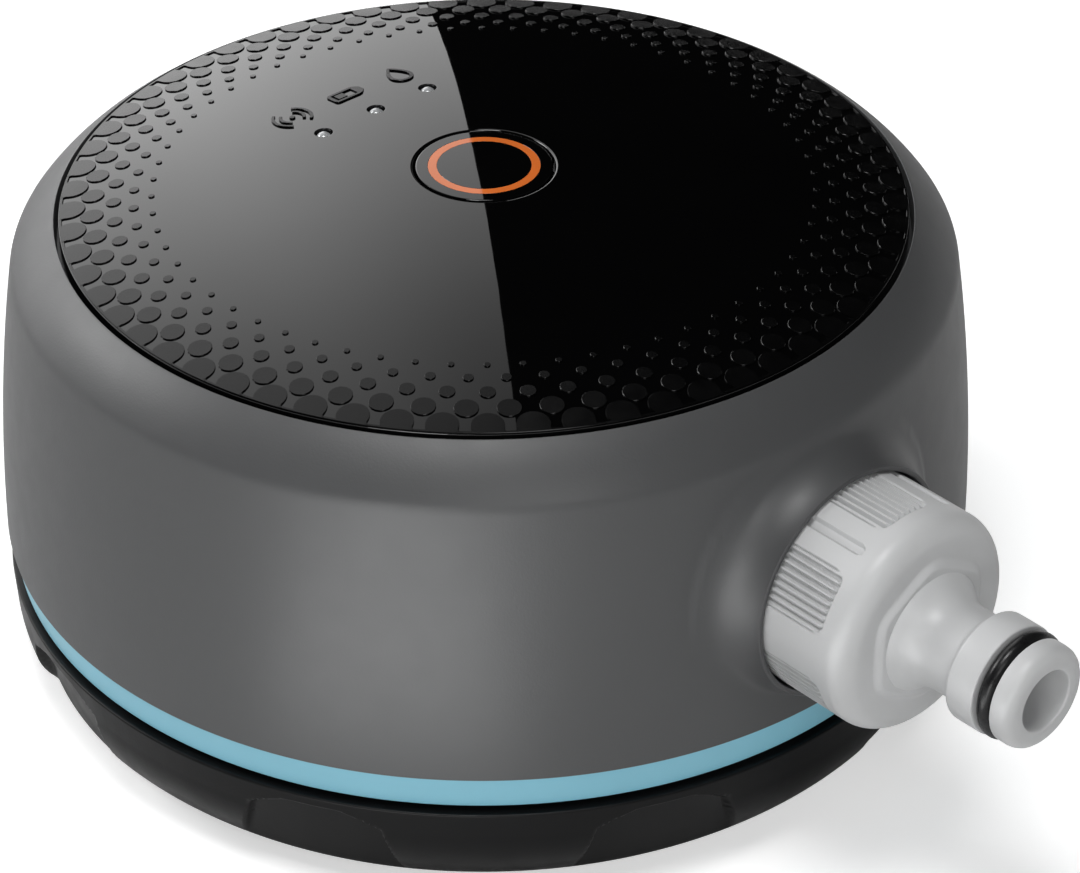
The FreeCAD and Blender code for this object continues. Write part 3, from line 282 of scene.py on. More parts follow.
def bow(start, end, bulge, steps):
    """Points on that circle from start to end: the chord's ends turned about the centre in equal angles."""
    centre, radius = bow_circle(start, end, bulge)
    first = math.atan2(start[1] - centre[1], start[0] - centre[0])
    last = math.atan2(end[1] - centre[1], end[0] - centre[0])
    swing = (last - first + math.pi) % FULL_TURN - math.pi
    turn = first + swing * np.linspace(0, 1, steps)
    return on_circle(centre, abs(radius), turn)


def outline(points, cuts, steps=4):
    """An outline in (radius, height) whose corners are rounded.

    Each corner p with a cut c becomes the parabola from p + c towards the point before, by way of p, to
    p + c towards the point after: (1-t)(1-t) a + 2 t (1-t) p + t t b. A cut of 0 leaves the corner.
    """
    points = np.array(points, float)
    cuts = np.broadcast_to(np.array(cuts, float), len(points))
    before = np.roll(points, 1, axis=0) - points
    after = np.roll(points, -1, axis=0) - points
    before[0], after[-1] = after[0], before[-1]
    a = points + unit(before) * cuts[:, None]
    b = points + unit(after) * cuts[:, None]
    t = np.linspace(0, 1, steps)[None, :, None]
    curve = (1 - t) ** 2 * a[:, None] + 2 * t * (1 - t) * points[:, None] + t ** 2 * b[:, None]
    flat = curve.reshape(-1, 2)
    keep = np.concatenate([[True], np.hypot(*np.diff(flat, axis=0).T) > 1e-6])
    return flat[keep]


def dense(profile, step):
    """The same polyline with points added so that none are further apart than step."""
    gaps = np.hypot(*np.diff(profile, axis=0).T)
    counts = np.maximum(np.ceil(gaps / step), 1).astype(int)
    place = np.concatenate([np.repeat(np.arange(len(counts)), counts) + np.concatenate(
        [np.arange(n) / n for n in counts]), [len(counts)]])
    index = np.arange(len(profile))
    return pairs(np.interp(place, index, profile[:, 0]), np.interp(place, index, profile[:, 1]))


def turned(profile, angles, axis="up", height=0.0):
    """A profile in (radius, distance) turned about an axis: x = r cos a, y = r sin a, z = distance.

    The radius may be an array over rows and columns. The axis is up, or out along -Y (outlet) or +Y (inlet)
    at a height.
    """
    radius, distance = profile
    radius = np.broadcast_to(np.asarray(radius, float).reshape(len(radius), -1), (len(radius), len(angles)))
    distance = np.broadcast_to(np.asarray(distance, float).reshape(len(distance), -1), radius.shape)
    x, y = radius * np.cos(angles), radius * np.sin(angles)
    if axis == "outlet":
        return np.stack([x, -distance, y + height], axis=-1)
    if axis == "inlet":
        return np.stack([x, distance, height - y], axis=-1)
    return np.stack([x, y, distance], axis=-1)


def around(columns):
    """Equal angles for one full turn, from -180 degrees."""
    return -math.pi + FULL_TURN * np.arange(columns) / columns


def wrapped(angle, period=FULL_TURN):
    """An angle brought within half a period of zero."""
    return (angle + period / 2) % period - period / 2


def rim_of(numbers, top, bottom, left, right):
    """The point numbers round a gap in a grid, once round from its first corner."""
    return np.concatenate([numbers[top, left:right], numbers[top:bottom, right],
                           numbers[bottom, right:left:-1], numbers[bottom:top:-1, left]])


def patch_plane(border, radii, steps):
    """Rings between a gap's border and a round hole about (0, 0), in a plane, from the border inwards.

    First steps rings that blend from the border to the largest circle, then circles of the given radii
    (largest first). A point keeps the border point's direction throughout.
    """
    turn = np.arctan2(border[:, 1], border[:, 0])
    direction = pairs(np.cos(turn), np.sin(turn))
    share = (np.arange(1, steps) / steps)[:, None, None]
    blend = (1 - share) * border + share * radii[0] * direction
    circles = np.array(radii)[:, None, None] * direction
    return np.concatenate([blend, circles])


def dome_ball(face):
    """Radius of the ball through the face's rim and its raised middle, and the height of its centre."""
    ball = (face.radius ** 2 + face.rise ** 2) / (2 * face.rise)
    return ball, face.edge_height + face.rise - ball


def dome_height(radius, face):
    """Height of the face over a distance from the middle: the ball's centre plus sqrt(R R - r r)."""
    ball, centre = dome_ball(face)
    return centre + np.sqrt(ball ** 2 - radius ** 2)


def on_dome(x, y, lift, face):
    """Points that stand off the face by lift along its normal, over the places (x, y)."""
    ball, centre = dome_ball(face)
    height = np.sqrt(ball ** 2 - x ** 2 - y ** 2)
    scale = 1 + lift / ball
    return np.stack([x * scale, y * scale, centre + height * scale], axis=-1)


# ---------------------------------------------------------------- finishes

def map_range(tree, value, from_low, from_high, low, high):
    """A Map Range node on a socket's value."""
    node = tree.nodes.new("ShaderNodeMapRange")
    limits = {"From Min": from_low, "From Max": from_high, "To Min": low, "To Max": high}
    for socket, number in limits.items():
        node.inputs[socket].default_value = number
    tree.links.new(value, node.inputs["Value"])
    return node


class Finish:
    """A node material: a Principled shader, with patterns on the piece's own object coordinates."""

    def __init__(self, name, tint, roughness, **sockets):
        self.material = bpy.data.materials.new(name)
        self.material.use_nodes = True
        self.nodes = self.material.node_tree.nodes
        self.links = self.material.node_tree.links
        self.shader = self.nodes["Principled BSDF"]
        self.place = self.nodes.new("ShaderNodeTexCoord").outputs["Object"]
        self.tint = tuple(tint)
        self.shader.inputs["Base Color"].default_value = (*self.tint, 1)
        self.shader.inputs["Roughness"].default_value = roughness
        for socket, value in sockets.items():
            self.shader.inputs[socket].default_value = value

    def noise(self, size, detail, stretch=None):
        """Noise whose features are about size metres wide; stretch scales the axes."""
        node = self.nodes.new("ShaderNodeTexNoise")
        node.inputs["Scale"].default_value = 1 / size
        node.inputs["Detail"].default_value = detail
        place = self.place
        if stretch:
            mapping = self.nodes.new("ShaderNodeMapping")
            mapping.inputs["Scale"].default_value = stretch
            self.links.new(place, mapping.inputs["Vector"])
            place = mapping.outputs["Vector"]
        self.links.new(place, node.inputs["Vector"])
        return node.outputs["Fac"]

    def between(self, value, low, high):
        """A noise value mapped from its usual 0.3 to 0.7 onto low to high."""
        return map_range(self.material.node_tree, value, 0.3, 0.7, low, high).outputs["Result"]

    def vary_colour(self, value, darker, lighter):
        """Base colour that goes between two strengths of the tint with a noise value."""
        node = self.nodes.new("ShaderNodeMix")
        node.data_type = "RGBA"
        node.inputs["A"].default_value = (*[c * darker for c in self.tint], 1)
        node.inputs["B"].default_value = (*[min(c * lighter, 1) for c in self.tint], 1)
        self.links.new(self.between(value, 0, 1), node.inputs["Factor"])
        self.links.new(node.outputs["Result"], self.shader.inputs["Base Color"])

    def vary_roughness(self, value, low, high):
        """Roughness that goes from low to high with a noise value."""
        self.links.new(self.between(value, low, high), self.shader.inputs["Roughness"])

    def grain(self, value, depth):
        """Bump by a noise value, depth in metres."""
        node = self.nodes.new("ShaderNodeBump")
        node.inputs["Strength"].default_value = 1.0
        node.inputs["Distance"].default_value = depth
        self.links.new(value, node.inputs["Height"])
        self.links.new(node.outputs["Normal"], self.shader.inputs["Normal"])


def moulded(name, tint, roughness, grain_size, grain_depth, spread=0.05, **sockets):
    """Moulded plastic: fine spark-eroded grain, faint clouding in colour and gloss."""
    finish = Finish(name, tint, roughness, **sockets)
    cloud = finish.noise(0.018, 3.0)
    finish.vary_colour(cloud, 1 - 0.6 * spread, 1 + 0.6 * spread)
    finish.vary_roughness(finish.noise(0.004, 3.0), roughness - spread, roughness + spread)
    finish.grain(finish.noise(grain_size, 2.0), grain_depth)
    return finish


def polished(name, tint, roughness, **sockets):
    """Polished plastic: the faintest waviness and a trace of haze."""
    finish = Finish(name, tint, roughness, **sockets)
    finish.vary_colour(finish.noise(0.02, 2.0), 0.9, 1.1)
    finish.vary_roughness(finish.noise(0.006, 3.0), roughness * 0.8, roughness * 1.3)
    finish.grain(finish.noise(0.012, 1.0), 0.000006)
    return finish


def brushed(name, tint, roughness, stretch):
    """Metal with fine drawing lines along one axis."""
    finish = Finish(name, tint, roughness, Metallic=1.0)
    lines = finish.noise(0.0003, 3.0, stretch)
    finish.vary_colour(finish.noise(0.006, 2.0), 0.88, 1.08)
    finish.vary_roughness(lines, roughness - 0.08, roughness + 0.1)
    finish.grain(lines, 0.000008)
    return finish


def rubbery(name, tint, roughness, **sockets):
    """Rubber: fine matte skin, slightly mottled."""
    finish = Finish(name, tint, roughness, **sockets)
    finish.vary_colour(finish.noise(0.003, 3.0), 0.8, 1.3)
    finish.vary_roughness(finish.noise(0.0015, 3.0), roughness - 0.05, roughness + 0.08)
    finish.grain(finish.noise(0.00025, 3.0), 0.00001)
    return finish


# Each finish: its maker, its tint (a colour, or the name of one in FinishColours), the maker's other values
# and sockets with a value of their own
RECIPES = {
    "housing plastic": (moulded, "housing", (0.44, 0.00035, 0.000014, 0.018), {}),
    "blue plastic": (moulded, "accent", (0.40, 0.0005, 0.000006, 0.03), {}),
    "black gloss": (polished, "face", (0.012,), {}),
    "dot black": (moulded, "face", (0.22, 0.0002, 0.000003, 0.04), {"Specular IOR Level": 0.28}),
    "sign black": (moulded, "face", (0.24, 0.0002, 0.000003, 0.04), {"Specular IOR Level": 0.18}),
    "orange light guide": (polished, "light_ring", (0.03,), {}),
    "clear light guide": (polished, (0.42, 0.43, 0.44), (0.16,), {"Metallic": 0.2}),
    "cover plastic": (moulded, "cover", (0.36, 0.0005, 0.00001, 0.05), {"Specular IOR Level": 0.15}),
    "connector plastic": (moulded, "connector", (0.40, 0.0004, 0.00001, 0.04), {}),
    "spigot plastic": (moulded, (0.05, 0.05, 0.055), (0.45, 0.0003, 0.000015), {}),
    "seal rubber": (rubbery, "rubber", (0.28,), {"Specular IOR Level": 0.3}),
    "pale silicone": (rubbery, (0.55, 0.55, 0.53), (0.4,), {}),
    "valve plastic": (moulded, (0.03, 0.035, 0.04), (0.45, 0.0003, 0.00002), {}),
    "inner plastic": (moulded, (0.30, 0.30, 0.31), (0.48, 0.0005, 0.000015), {}),
    "circuit board lacquer": (polished, (0.01, 0.12, 0.05), (0.25,), {}),
    "lamp body": (polished, (0.80, 0.78, 0.70), (0.3,), {}),
    "bright steel": (brushed, (0.56, 0.57, 0.58), (0.28, (1, 1, 0.05)), {}),
    "painted coil frame": (moulded, (0.02, 0.02, 0.02), (0.35, 0.0006, 0.00001), {}),
    "enamelled copper wire": (brushed, (0.60, 0.26, 0.13), (0.3, (0.05, 0.05, 4)), {}),
    "battery jacket": (brushed, (0.12, 0.12, 0.13), (0.3, (1, 0.05, 1)), {}),
}
FINISHES = {}


def finish_of(name):
    """The material of this name, made on first use."""
    if name not in FINISHES:
        maker, tint, values, sockets = RECIPES[name]
        if isinstance(tint, str):
            tint = getattr(bpy.context.scene.valve_colours, tint)
        FINISHES[name] = maker(name, tint, *values, **sockets).material
    return FINISHES[name]


# ---------------------------------------------------------------- housing and blue ring

def wall_radius(z, body):
    """Radius of the housing's outside at a height.

    The wall's circle and the shoulder's circle each give a radius, x = cx + sqrt(R R - (z - cz)(z - cz));
    the outside is the smaller, blended at the crease.
    """
    crease = (body.crease_radius, body.crease_height)
    centre, radius = bow_circle((body.radius, body.wall_foot), crease, body.wall_bulge)
    wall = centre[0] + np.sqrt(radius ** 2 - (z - centre[1]) ** 2)
    centre, radius = bow_circle(crease, (body.edge_radius, body.edge_height), body.shoulder_bulge)
    rise = np.maximum(z - centre[1], 0)
    shoulder = centre[0] + np.sqrt(radius ** 2 - rise ** 2) + np.maximum(centre[1] - z, 0)
    return soft_min(wall, shoulder, body.crease_blend)


def inner_radius(z, body):
    """Radius of the housing's inside: its foot and its crease joined by the same bulge as outside."""
    foot = (body.radius - 2.8, body.wall_foot + 2.4)
    top = (body.crease_radius - 2.8, body.crease_height - 1.4)
    centre, radius = bow_circle(foot, top, body.wall_bulge)
    return centre[0] + np.sqrt(radius ** 2 - (z - centre[1]) ** 2)


def flare_circle(body):
    """Centre and radius of the flare's circle, in (distance from the outlet's axis, distance out)."""
    foot = (body.boss_radius + FLARE_REACH, body.boss_face - 8.0)
    return bow_circle((body.boss_radius, body.boss_face), foot, 1.266)


def outlet_flare(distance, body):
    """How far out the flare stands at a distance from its axis: c - sqrt(R R - (distance - c)(distance - c)).

    Past its foot it drops away inside the wall.
    """
    centre, radius = flare_circle(body)
    reach = np.clip(distance - centre[0], -abs(radius), 0)
    past_foot = np.maximum(distance - body.boss_radius - FLARE_REACH, 0)
    return centre[1] - np.sqrt(radius ** 2 - reach ** 2) - 2 * past_foot


def build_housing(context):
    """The turned shell as rows of rings, with a gap in its outer and inner wall at each port.

    Each gap is filled by rings in the port's plane (u across, v up); a point's distance out from the middle
    is sqrt(R(v) R(v) - u u) on the wall, blended with the flare round the outlet.
    """
    body = in_mm(context.scene.valve_body)
    columns = 360
    angles = around(columns)
    foot = body.wall_foot
    low, high = foot + 1.0, 73.4
    bend = body.crease_height - 4.3
    rows = np.concatenate([np.linspace(low, bend, 27)[:-1], np.linspace(bend, high, 23)])
    above = np.linspace(high, body.edge_height - 0.25, 7)[1:]
    below = [foot + 0.25, foot + 0.6]
    z = np.concatenate([below, rows, above])
    outside = pairs(wall_radius(z, body), z)
    edge = outline([outside[-1], (body.edge_radius, body.edge_height),
                    (body.edge_radius - 0.3, 72.6), (61.0, 72.6), (61.0, 69.6), (62.5, 69.6)],
                   [0, 0.22, 0, 0, 0, 0], 4)
    inner_rows = np.linspace(66.9, foot + 2.45, len(rows))
    inside = pairs(inner_radius(inner_rows, body), inner_rows)
    skirt_inner, skirt_outer, skirt_foot = 69.42, 71.92, foot - 5.7
    skirt = outline([(inside[-1][0], foot + 2.4), (skirt_inner, foot + 2.4), (skirt_inner, skirt_foot),
                     (skirt_outer, skirt_foot), (skirt_outer, foot), (body.radius, foot),
                     (outside[0][0], foot + 0.25)], [0, 0, 0.2, 0.2, 0, 0.2, 0], 4)
    profile = np.concatenate([outside, edge[1:], inside, skirt[1:]])
    skin = Skin()
    grid = turned(profile.T, angles)
    numbers = skin.add(grid)
    first_in = len(outside) + len(edge) - 1
    gaps = []
    half_gap = 24
    port_bore = 13.3
    for port, middle in (("outlet", 90), ("inlet", 270)):
        left, right = middle - half_gap, middle + half_gap
        out_block = (len(below), len(below) + len(rows) - 1, left, right)
        in_block = (first_in, first_in + len(rows) - 1, left, right)
        gaps += [out_block, in_block]
        out_numbers = rim_of(numbers, *out_block)
        flipped = numbers[in_block[0]:in_block[1] + 1][::-1]
        in_numbers = rim_of(flipped, 0, len(rows) - 1, left, right)
        side = -1 if port == "outlet" else 1

        def plane(loop):
            """Border points as (u, v): across and up from the port's axis."""
            points = grid.reshape(-1, 3)[loop]
            return pairs(points[:, 0], points[:, 2] - body.outlet_height)

        def lay(flat, depth):
            """Points (u, v) put back at a depth out from the middle."""
            return np.stack([flat[..., 0], side * depth, flat[..., 1] + body.outlet_height], axis=-1)

        def outer_depth(flat):
            wall = np.sqrt(wall_radius(flat[..., 1] + body.outlet_height, body) ** 2 - flat[..., 0] ** 2)
            if port == "inlet":
                return wall
            flare = outlet_flare(np.hypot(flat[..., 0], flat[..., 1]), body)
            return np.minimum(soft_max(wall, flare, 1.2), body.boss_face)

        def inner_depth(flat):
            return np.sqrt(inner_radius(flat[..., 1] + body.outlet_height, body) ** 2 - flat[..., 0] ** 2)

        if port == "outlet":
            lip, face, recess = body.boss_radius, body.boss_face, body.boss_recess
            tube = [(lip + 0.02, face - 0.14), (lip - 0.1, face - 0.03), (lip - 0.25, face),
                    (recess + 0.25, face), (recess + 0.07, face - 0.08), (recess, face - 0.3), (recess, 73.2),
                    (port_bore, 73.2)]
            centre, radius = flare_circle(body)
            out = np.concatenate([np.linspace(72.2, 76.0, 7), np.linspace(76.5, face - 0.4, 4)])
            circles = centre[0] - np.sqrt(radius ** 2 - (centre[1] - out) ** 2)
            inner_circles = [18.0, 16.0, port_bore]
        else:
            recess = 17.6
            tube = [(recess, 71.9), (recess, 61.5), (12.3, 61.5), (12.3, 59.5), (19.0, 59.5)]
            circles = [19.6, 19.0, 18.5, 18.2, 18.0, 17.85, 17.72]
            inner_circles = [19.0]
        flat = patch_plane(plane(out_numbers), circles, 20)
        rings = [out_numbers[None], skin.add(lay(flat, outer_depth(flat)))]
        direction = unit(flat[-1])
        tube = np.array(tube)
        depth = np.broadcast_to(tube[:, 1:2], (len(tube), len(direction))).copy()
        if port == "inlet":
            depth[0] = outer_depth(direction * recess) - 0.12
        rings.append(skin.add(lay(tube[:, 0, None, None] * direction, depth)))
        back = patch_plane(plane(in_numbers), inner_circles, 4)[::-1]
        rings += [skin.add(lay(back, inner_depth(back))), in_numbers[None]]
        skin.weave(np.concatenate(rings))
    skin.weave(numbers, True, gaps)
    skin.finish("housing_shell", "valve", finish_of("housing plastic"), "housing", ["housing"], 28)


def build_accent_ring(context):
    """The blue ring: one closed outline with softened corners, turned."""
    body = in_mm(context.scene.valve_body)
    foot, top, inner = body.accent_foot, body.wall_foot, 72.02
    profile = outline([(inner, top), (inner, foot), (body.radius - 1.2, foot),
                       (body.radius - 0.2, top - 0.02), (inner, top)], [0, 0.2, 0.5, 0.12, 0], 5)
    skin = Skin()
    skin.turn(dense(profile, 1.4).T, around(360))
    skin.finish("accent_band", "valve", finish_of("blue plastic"), "accent", ["accent_ring"])


# ---------------------------------------------------------------- battery cover

def cover_angles(count):
    """Angles for one turn, close together where the recesses' sides run and wide apart between."""
    period = FULL_TURN / count
    degrees = np.concatenate([np.linspace(-20, -12.4, 8)[:-1], np.linspace(-12.4, -3.6, 32)[:-1],
                              np.linspace(-3.6, 3.6, 7)[:-1], np.linspace(3.6, 12.4, 32)[:-1],
                              np.linspace(12.4, 20, 8)[:-1]])
    local = np.radians(degrees) * period / math.radians(40)
    first = math.radians(-90 - 21.5)
    middles = first + period * np.arange(count)
    return (middles[:, None] + local).ravel(), np.tile(local, count)


def build_cover(context):
    """The battery cover: its outline turned, with each recess pressed in towards a core.

    Inside a recess the radius drops from the outline's to the core's, r(z); the drop is faded in by an
    S curve of the distance to the recess's edge. That distance is the blended smaller of the distance to
    the sides, whose half width shrinks upwards, and to the top.
    """
    cover = in_mm(context.scene.valve_cover)
    angles, local = cover_angles(cover.recess_count)
    rim, corner = cover.height, cover.corner
    middle = cover.radius - 0.3 - corner
    turn = np.linspace(-math.pi / 2, 0, 34)
    bottom = on_circle((middle, corner), corner, turn)
    wall_z = np.concatenate([np.linspace(corner, 15.3, 5)[1:], np.linspace(15.3, 16.7, 12)[1:],
                             np.linspace(16.7, rim - 0.45, 4)[1:]])
    wall = pairs(cover.radius - 0.3 + 0.3 * (wall_z - corner) / (rim - corner), wall_z)
    collar, seal_groove, inner, collar_top = 68.92, 67.32, 65.62, 24.2
    skirt = outline([wall[-1], (cover.radius, rim), (collar, rim), (collar, rim + 2.4),
                     (seal_groove, rim + 2.4), (seal_groove, rim + 4.7), (collar, rim + 4.7),
                     (collar, collar_top), (inner, collar_top), (inner, 12.5)],
                    [0, 0.35, 0.15, 0.12, 0, 0, 0.12, 0.5, 0.3, 0], 4)
    bowl = bow((inner, 12.5), (inner - 9.5, cover.floor), -2.78, 8)
    profile = np.concatenate([[(0, 0), (30, 0), (50, 0)], bottom, wall, skirt[1:], bowl[1:],
                              [(40, cover.floor), (20, cover.floor), (0, cover.floor)]])
    radius = profile[:, :1] + 0 * local
    z = profile[:, 1:2]
    outer = slice(3, 3 + len(bottom) + len(wall))
    r, zo = radius[outer], z[outer]
    across = r * np.sin(local)
    grow = -1.8 + 2.8 * (r - (cover.radius - 20)) / 24
    half_width = np.interp(zo, [-1, 13.5, 15.9, 18], [14.2, 10.0, 6.0, 5.0]) + grow
    side = half_width - np.abs(across)
    top = 15.9 + grow - zo
    inside = soft_min(side, top, 3.0)
    core = np.interp(zo, [-1, 3.4, 15.9, 18], cover.radius - np.array([5.4, 4.2, 1.4, 1.2]))
    radius[outer] = r - smoothstep(0.0, 0.75, inside) * np.maximum(r - core, 0)
    skin = Skin()
    skin.turn((radius, z), angles)
    skin.finish("battery_cover_shell", "cover", finish_of("cover plastic"), "cover", ["battery_cover"], 40)


# ---------------------------------------------------------------- the face

def build_panel(context):
    """The domed face: a turned plate with three lens holes.

    Rows are rings of the plate's outline; each lens hole is a gap filled by circles about the hole, laid on
    the dome above and, a thickness lower, below.
    """
    face = in_mm(context.scene.valve_face)
    columns = 360
    angles = around(columns)
    fine = np.linspace(20.5, 31.5, 23)
    edge = face.button_hole + 0.34
    within = np.concatenate([[edge, edge + 0.03], np.linspace(edge + 0.3, fine[0], 14)[:-1]])
    beyond = np.linspace(fine[-1], face.radius - 0.3, 28)[1:]
    radii = np.concatenate([within, fine, beyond, [face.radius - 0.1]])
    top = pairs(radii, dome_height(radii, face))
    low = top[::-1] - [0, face.thickness]
    low[0] = (face.radius, face.edge_height - face.thickness)
    hole_edge = dome_height(face.button_hole, face)
    rim = np.array([(face.radius - 0.03, dome_height(face.radius - 0.1, face) - 0.04), (face.radius, 75.9)])
    turn = np.linspace(math.pi, math.pi / 2, 7)[:-1]
    round_edge = on_circle((edge, dome_height(edge, face) - 0.34), 0.34, turn)
    hole = np.concatenate([[(face.button_hole, hole_edge - face.thickness)], round_edge])
    profile = np.concatenate([top, rim, low, hole])
    skin = Skin()
    grid = turned(profile.T, angles)
    numbers = skin.add(grid)
    plan = grid.reshape(-1, 3)[:, :2]

    def on_face(flat, drop):
        """Places (x, y) put on the dome, lowered by drop."""
        level = dome_height(np.hypot(flat[..., 0], flat[..., 1]), face) - drop
        return np.concatenate([flat, level[..., None]], axis=-1)

    gaps = []
    hole_rows, half_gap = 14, 8
    last_row = len(numbers) - 1
    lower_start = len(top) + len(rim)
    for x, middle, near in ((-face.lens_pitch, 293, 23.5), (0.0, 270, 21.5), (face.lens_pitch, 247, 23.5)):
        left, right = middle - half_gap, middle + half_gap
        row = len(within) + int(np.argmin(np.abs(fine - near)))
        block = (row, row + hole_rows, left, right)
        last = lower_start + len(top) - 1 - row
        under = (last - hole_rows, last, left, right)
        gaps += [block, under]
        upper_rim = rim_of(numbers, *block)
        lower_rim = rim_of(numbers[::-1], last_row - last, last_row - last + hole_rows, left, right)
        centre = np.array([x, face.lens_row])
        circles = [2.0, 1.75, face.lens_hole + 0.11, face.lens_hole + 0.07]
        upper = patch_plane(plan[upper_rim] - centre, circles, 6) + centre
        direction = unit(upper[-1] - centre)
        bore = np.array([face.lens_hole + 0.02, face.lens_hole, face.lens_hole])
        bore = centre + bore[:, None, None] * direction
        bore_drop = np.array([0.02, 0.07, face.thickness])[:, None]
        lower = patch_plane(plan[lower_rim] - centre, [1.8], 4)[::-1] + centre
        rings = [upper_rim[None], skin.add(on_face(upper, 0)), skin.add(on_face(bore, bore_drop)),
                 skin.add(on_face(lower, face.thickness)), lower_rim[None]]
        skin.weave(np.concatenate(rings))
    skin.weave(numbers, True, gaps)
    skin.finish("face_panel", "valve", finish_of("black gloss"), "panel", ["top_panel"], 30)


def build_dots(context):
    """Raised dots: for each of four rings, each dot is a low post with a bevelled edge and a flat top.

    A dot's points are its centre plus radius (cos, sin) at each band, stood off the dome's normal there.
    """
    face = in_mm(context.scene.valve_face)
    skin = Skin()
    sides = 16
    turn = FULL_TURN * np.arange(sides) / sides
    pitch = 360 / face.dots_per_ring
    for ring, size, phase in ((58.74, 3.55, 3.4), (55.49, 2.35, 0.5), (52.5, 1.55, 3.4), (49.8, 0.95, 0.5)):
        place = np.radians(90 - phase - pitch * np.arange(face.dots_per_ring))
        centre = on_circle((0, 0), ring, place)
        bands = np.array([(0.001, -0.1), (size / 2, -0.1), (size / 2, face.dot_height - 0.05),
                          (size / 2 - 0.05, face.dot_height), (size / 2 - 0.09, face.dot_height),
                          (0.001, face.dot_height)])
        edge = bands[:, 0, None, None] * pairs(np.cos(turn), np.sin(turn))
        flat = centre[:, None, None] + edge
        lift = np.broadcast_to(bands[:, 1, None], flat.shape[1:3])
        points = on_dome(flat[..., 0], flat[..., 1], lift, face)
        base = on_dome(centre[:, 0], centre[:, 1], np.zeros(len(centre)), face)
        normal = base - [0, 0, dome_ball(face)[1]]
        normal /= np.linalg.norm(normal, axis=1)[:, None]
        out = ((points - base[:, None, None]) * normal[:, None, None]).sum(-1)
        points += normal[:, None, None] * (lift - out)[..., None]
        for dot in range(len(centre)):
            skin.weave(skin.add(points[dot]))
    skin.finish("face_dots", "valve", finish_of("dot black"), "panel", sharp=30)


def build_rim_band(context):
    """The raised band at the face's edge, whose inner side is a row of scallops.

    Per scallop the inner side runs round a circle about a ring of centres, from one cusp to the next, and
    along the cusp's short arc; rows carry it from the face up, over a bevel and out to the rim.
    """
    face = in_mm(context.scene.valve_face)
    ring, size, cusp = 62.05, 2.35, face.radius - 0.55
    pitch = FULL_TURN / face.dots_per_ring
    spread = math.acos((cusp - ring) / size)
    arc = np.linspace(spread, FULL_TURN - spread, 19)
    out, side = ring + size * np.cos(arc), -size * np.sin(arc)
    gap = pitch - 2 * abs(math.atan2(side[0], out[0]))
    bridge = np.linspace(0, gap, 7)[1:-1]
    turn = np.concatenate([np.arctan2(side, out), abs(math.atan2(side[0], out[0])) + bridge])
    if turn[0] > turn[18]:
        turn[:19] = -turn[:19]
    reach = np.concatenate([np.hypot(out, side), np.full(len(bridge), cusp)])
    place = math.pi / 2 - math.radians(0.5) + pitch * np.arange(face.dots_per_ring)
    angle = (place[:, None] + turn).ravel()
    reach = np.tile(reach, face.dots_per_ring)
    even = (place[:, None] + np.linspace(turn[0], turn[0] + pitch, len(turn), endpoint=False)).ravel()
    h = face.dot_height
    limit = face.radius - 0.14
    rows = [(angle, reach, -0.1), (angle, reach, h - 0.05), (angle, np.minimum(reach + 0.05, limit - 0.2), h),
            (angle, np.minimum(reach + 0.09, limit - 0.16), h), (even, limit - 0.1, h),
            (even, limit - 0.06, h), (even, limit, h - 0.06), (even, limit, -0.1)]
    grid = np.stack([on_dome(r * np.cos(a), r * np.sin(a), lift, face) for a, r, lift in rows])
    skin = Skin()
    skin.weave(skin.add(grid), True)
    skin.finish("face_rim_band", "valve", finish_of("dot black"), "panel", sharp=30)


def stroke(skin, path, width, height, face, closed=False):
    """A raised stroke on the face: a flat-topped profile carried along a path, its ends closed.

    At each path point the profile runs across the path by w and off the dome by h; the width may change
    along the path.
    """
    path = np.array(path, float)
    along = np.roll(path, -1, axis=0) - np.roll(path, 1, axis=0)
    if not closed:
        along[0], along[-1] = path[1] - path[0], path[-1] - path[-2]
    along = unit(along)
    across = pairs(along[:, 1], -along[:, 0])
    half = np.broadcast_to(width, len(path))[:, None] / 2
    side = half * [-1, -1, -1, -1, 1, 1, 1, 1] + np.array([0, 0, 0.05, 0.09, -0.09, -0.05, 0, 0])
    lift = np.array([-0.1, height - 0.05, height, height, height, height, height - 0.05, -0.1])
    flat = path[:, None] + across[:, None] * side[..., None]
    grid = on_dome(flat[..., 0], flat[..., 1], lift, face)
    if not closed:
        ends = [np.broadcast_to(grid[k].mean(0), grid[k].shape) for k in (0, -1)]
        grid = np.concatenate([ends[0][None], grid, ends[1][None]])
    skin.weave(skin.add(grid), closed)


def bend(centre, radius, first, last, steps=16):
    """Points of an arc in the plane, angles in degrees."""
    return on_circle(centre, radius, np.radians(np.linspace(first, last, steps)))


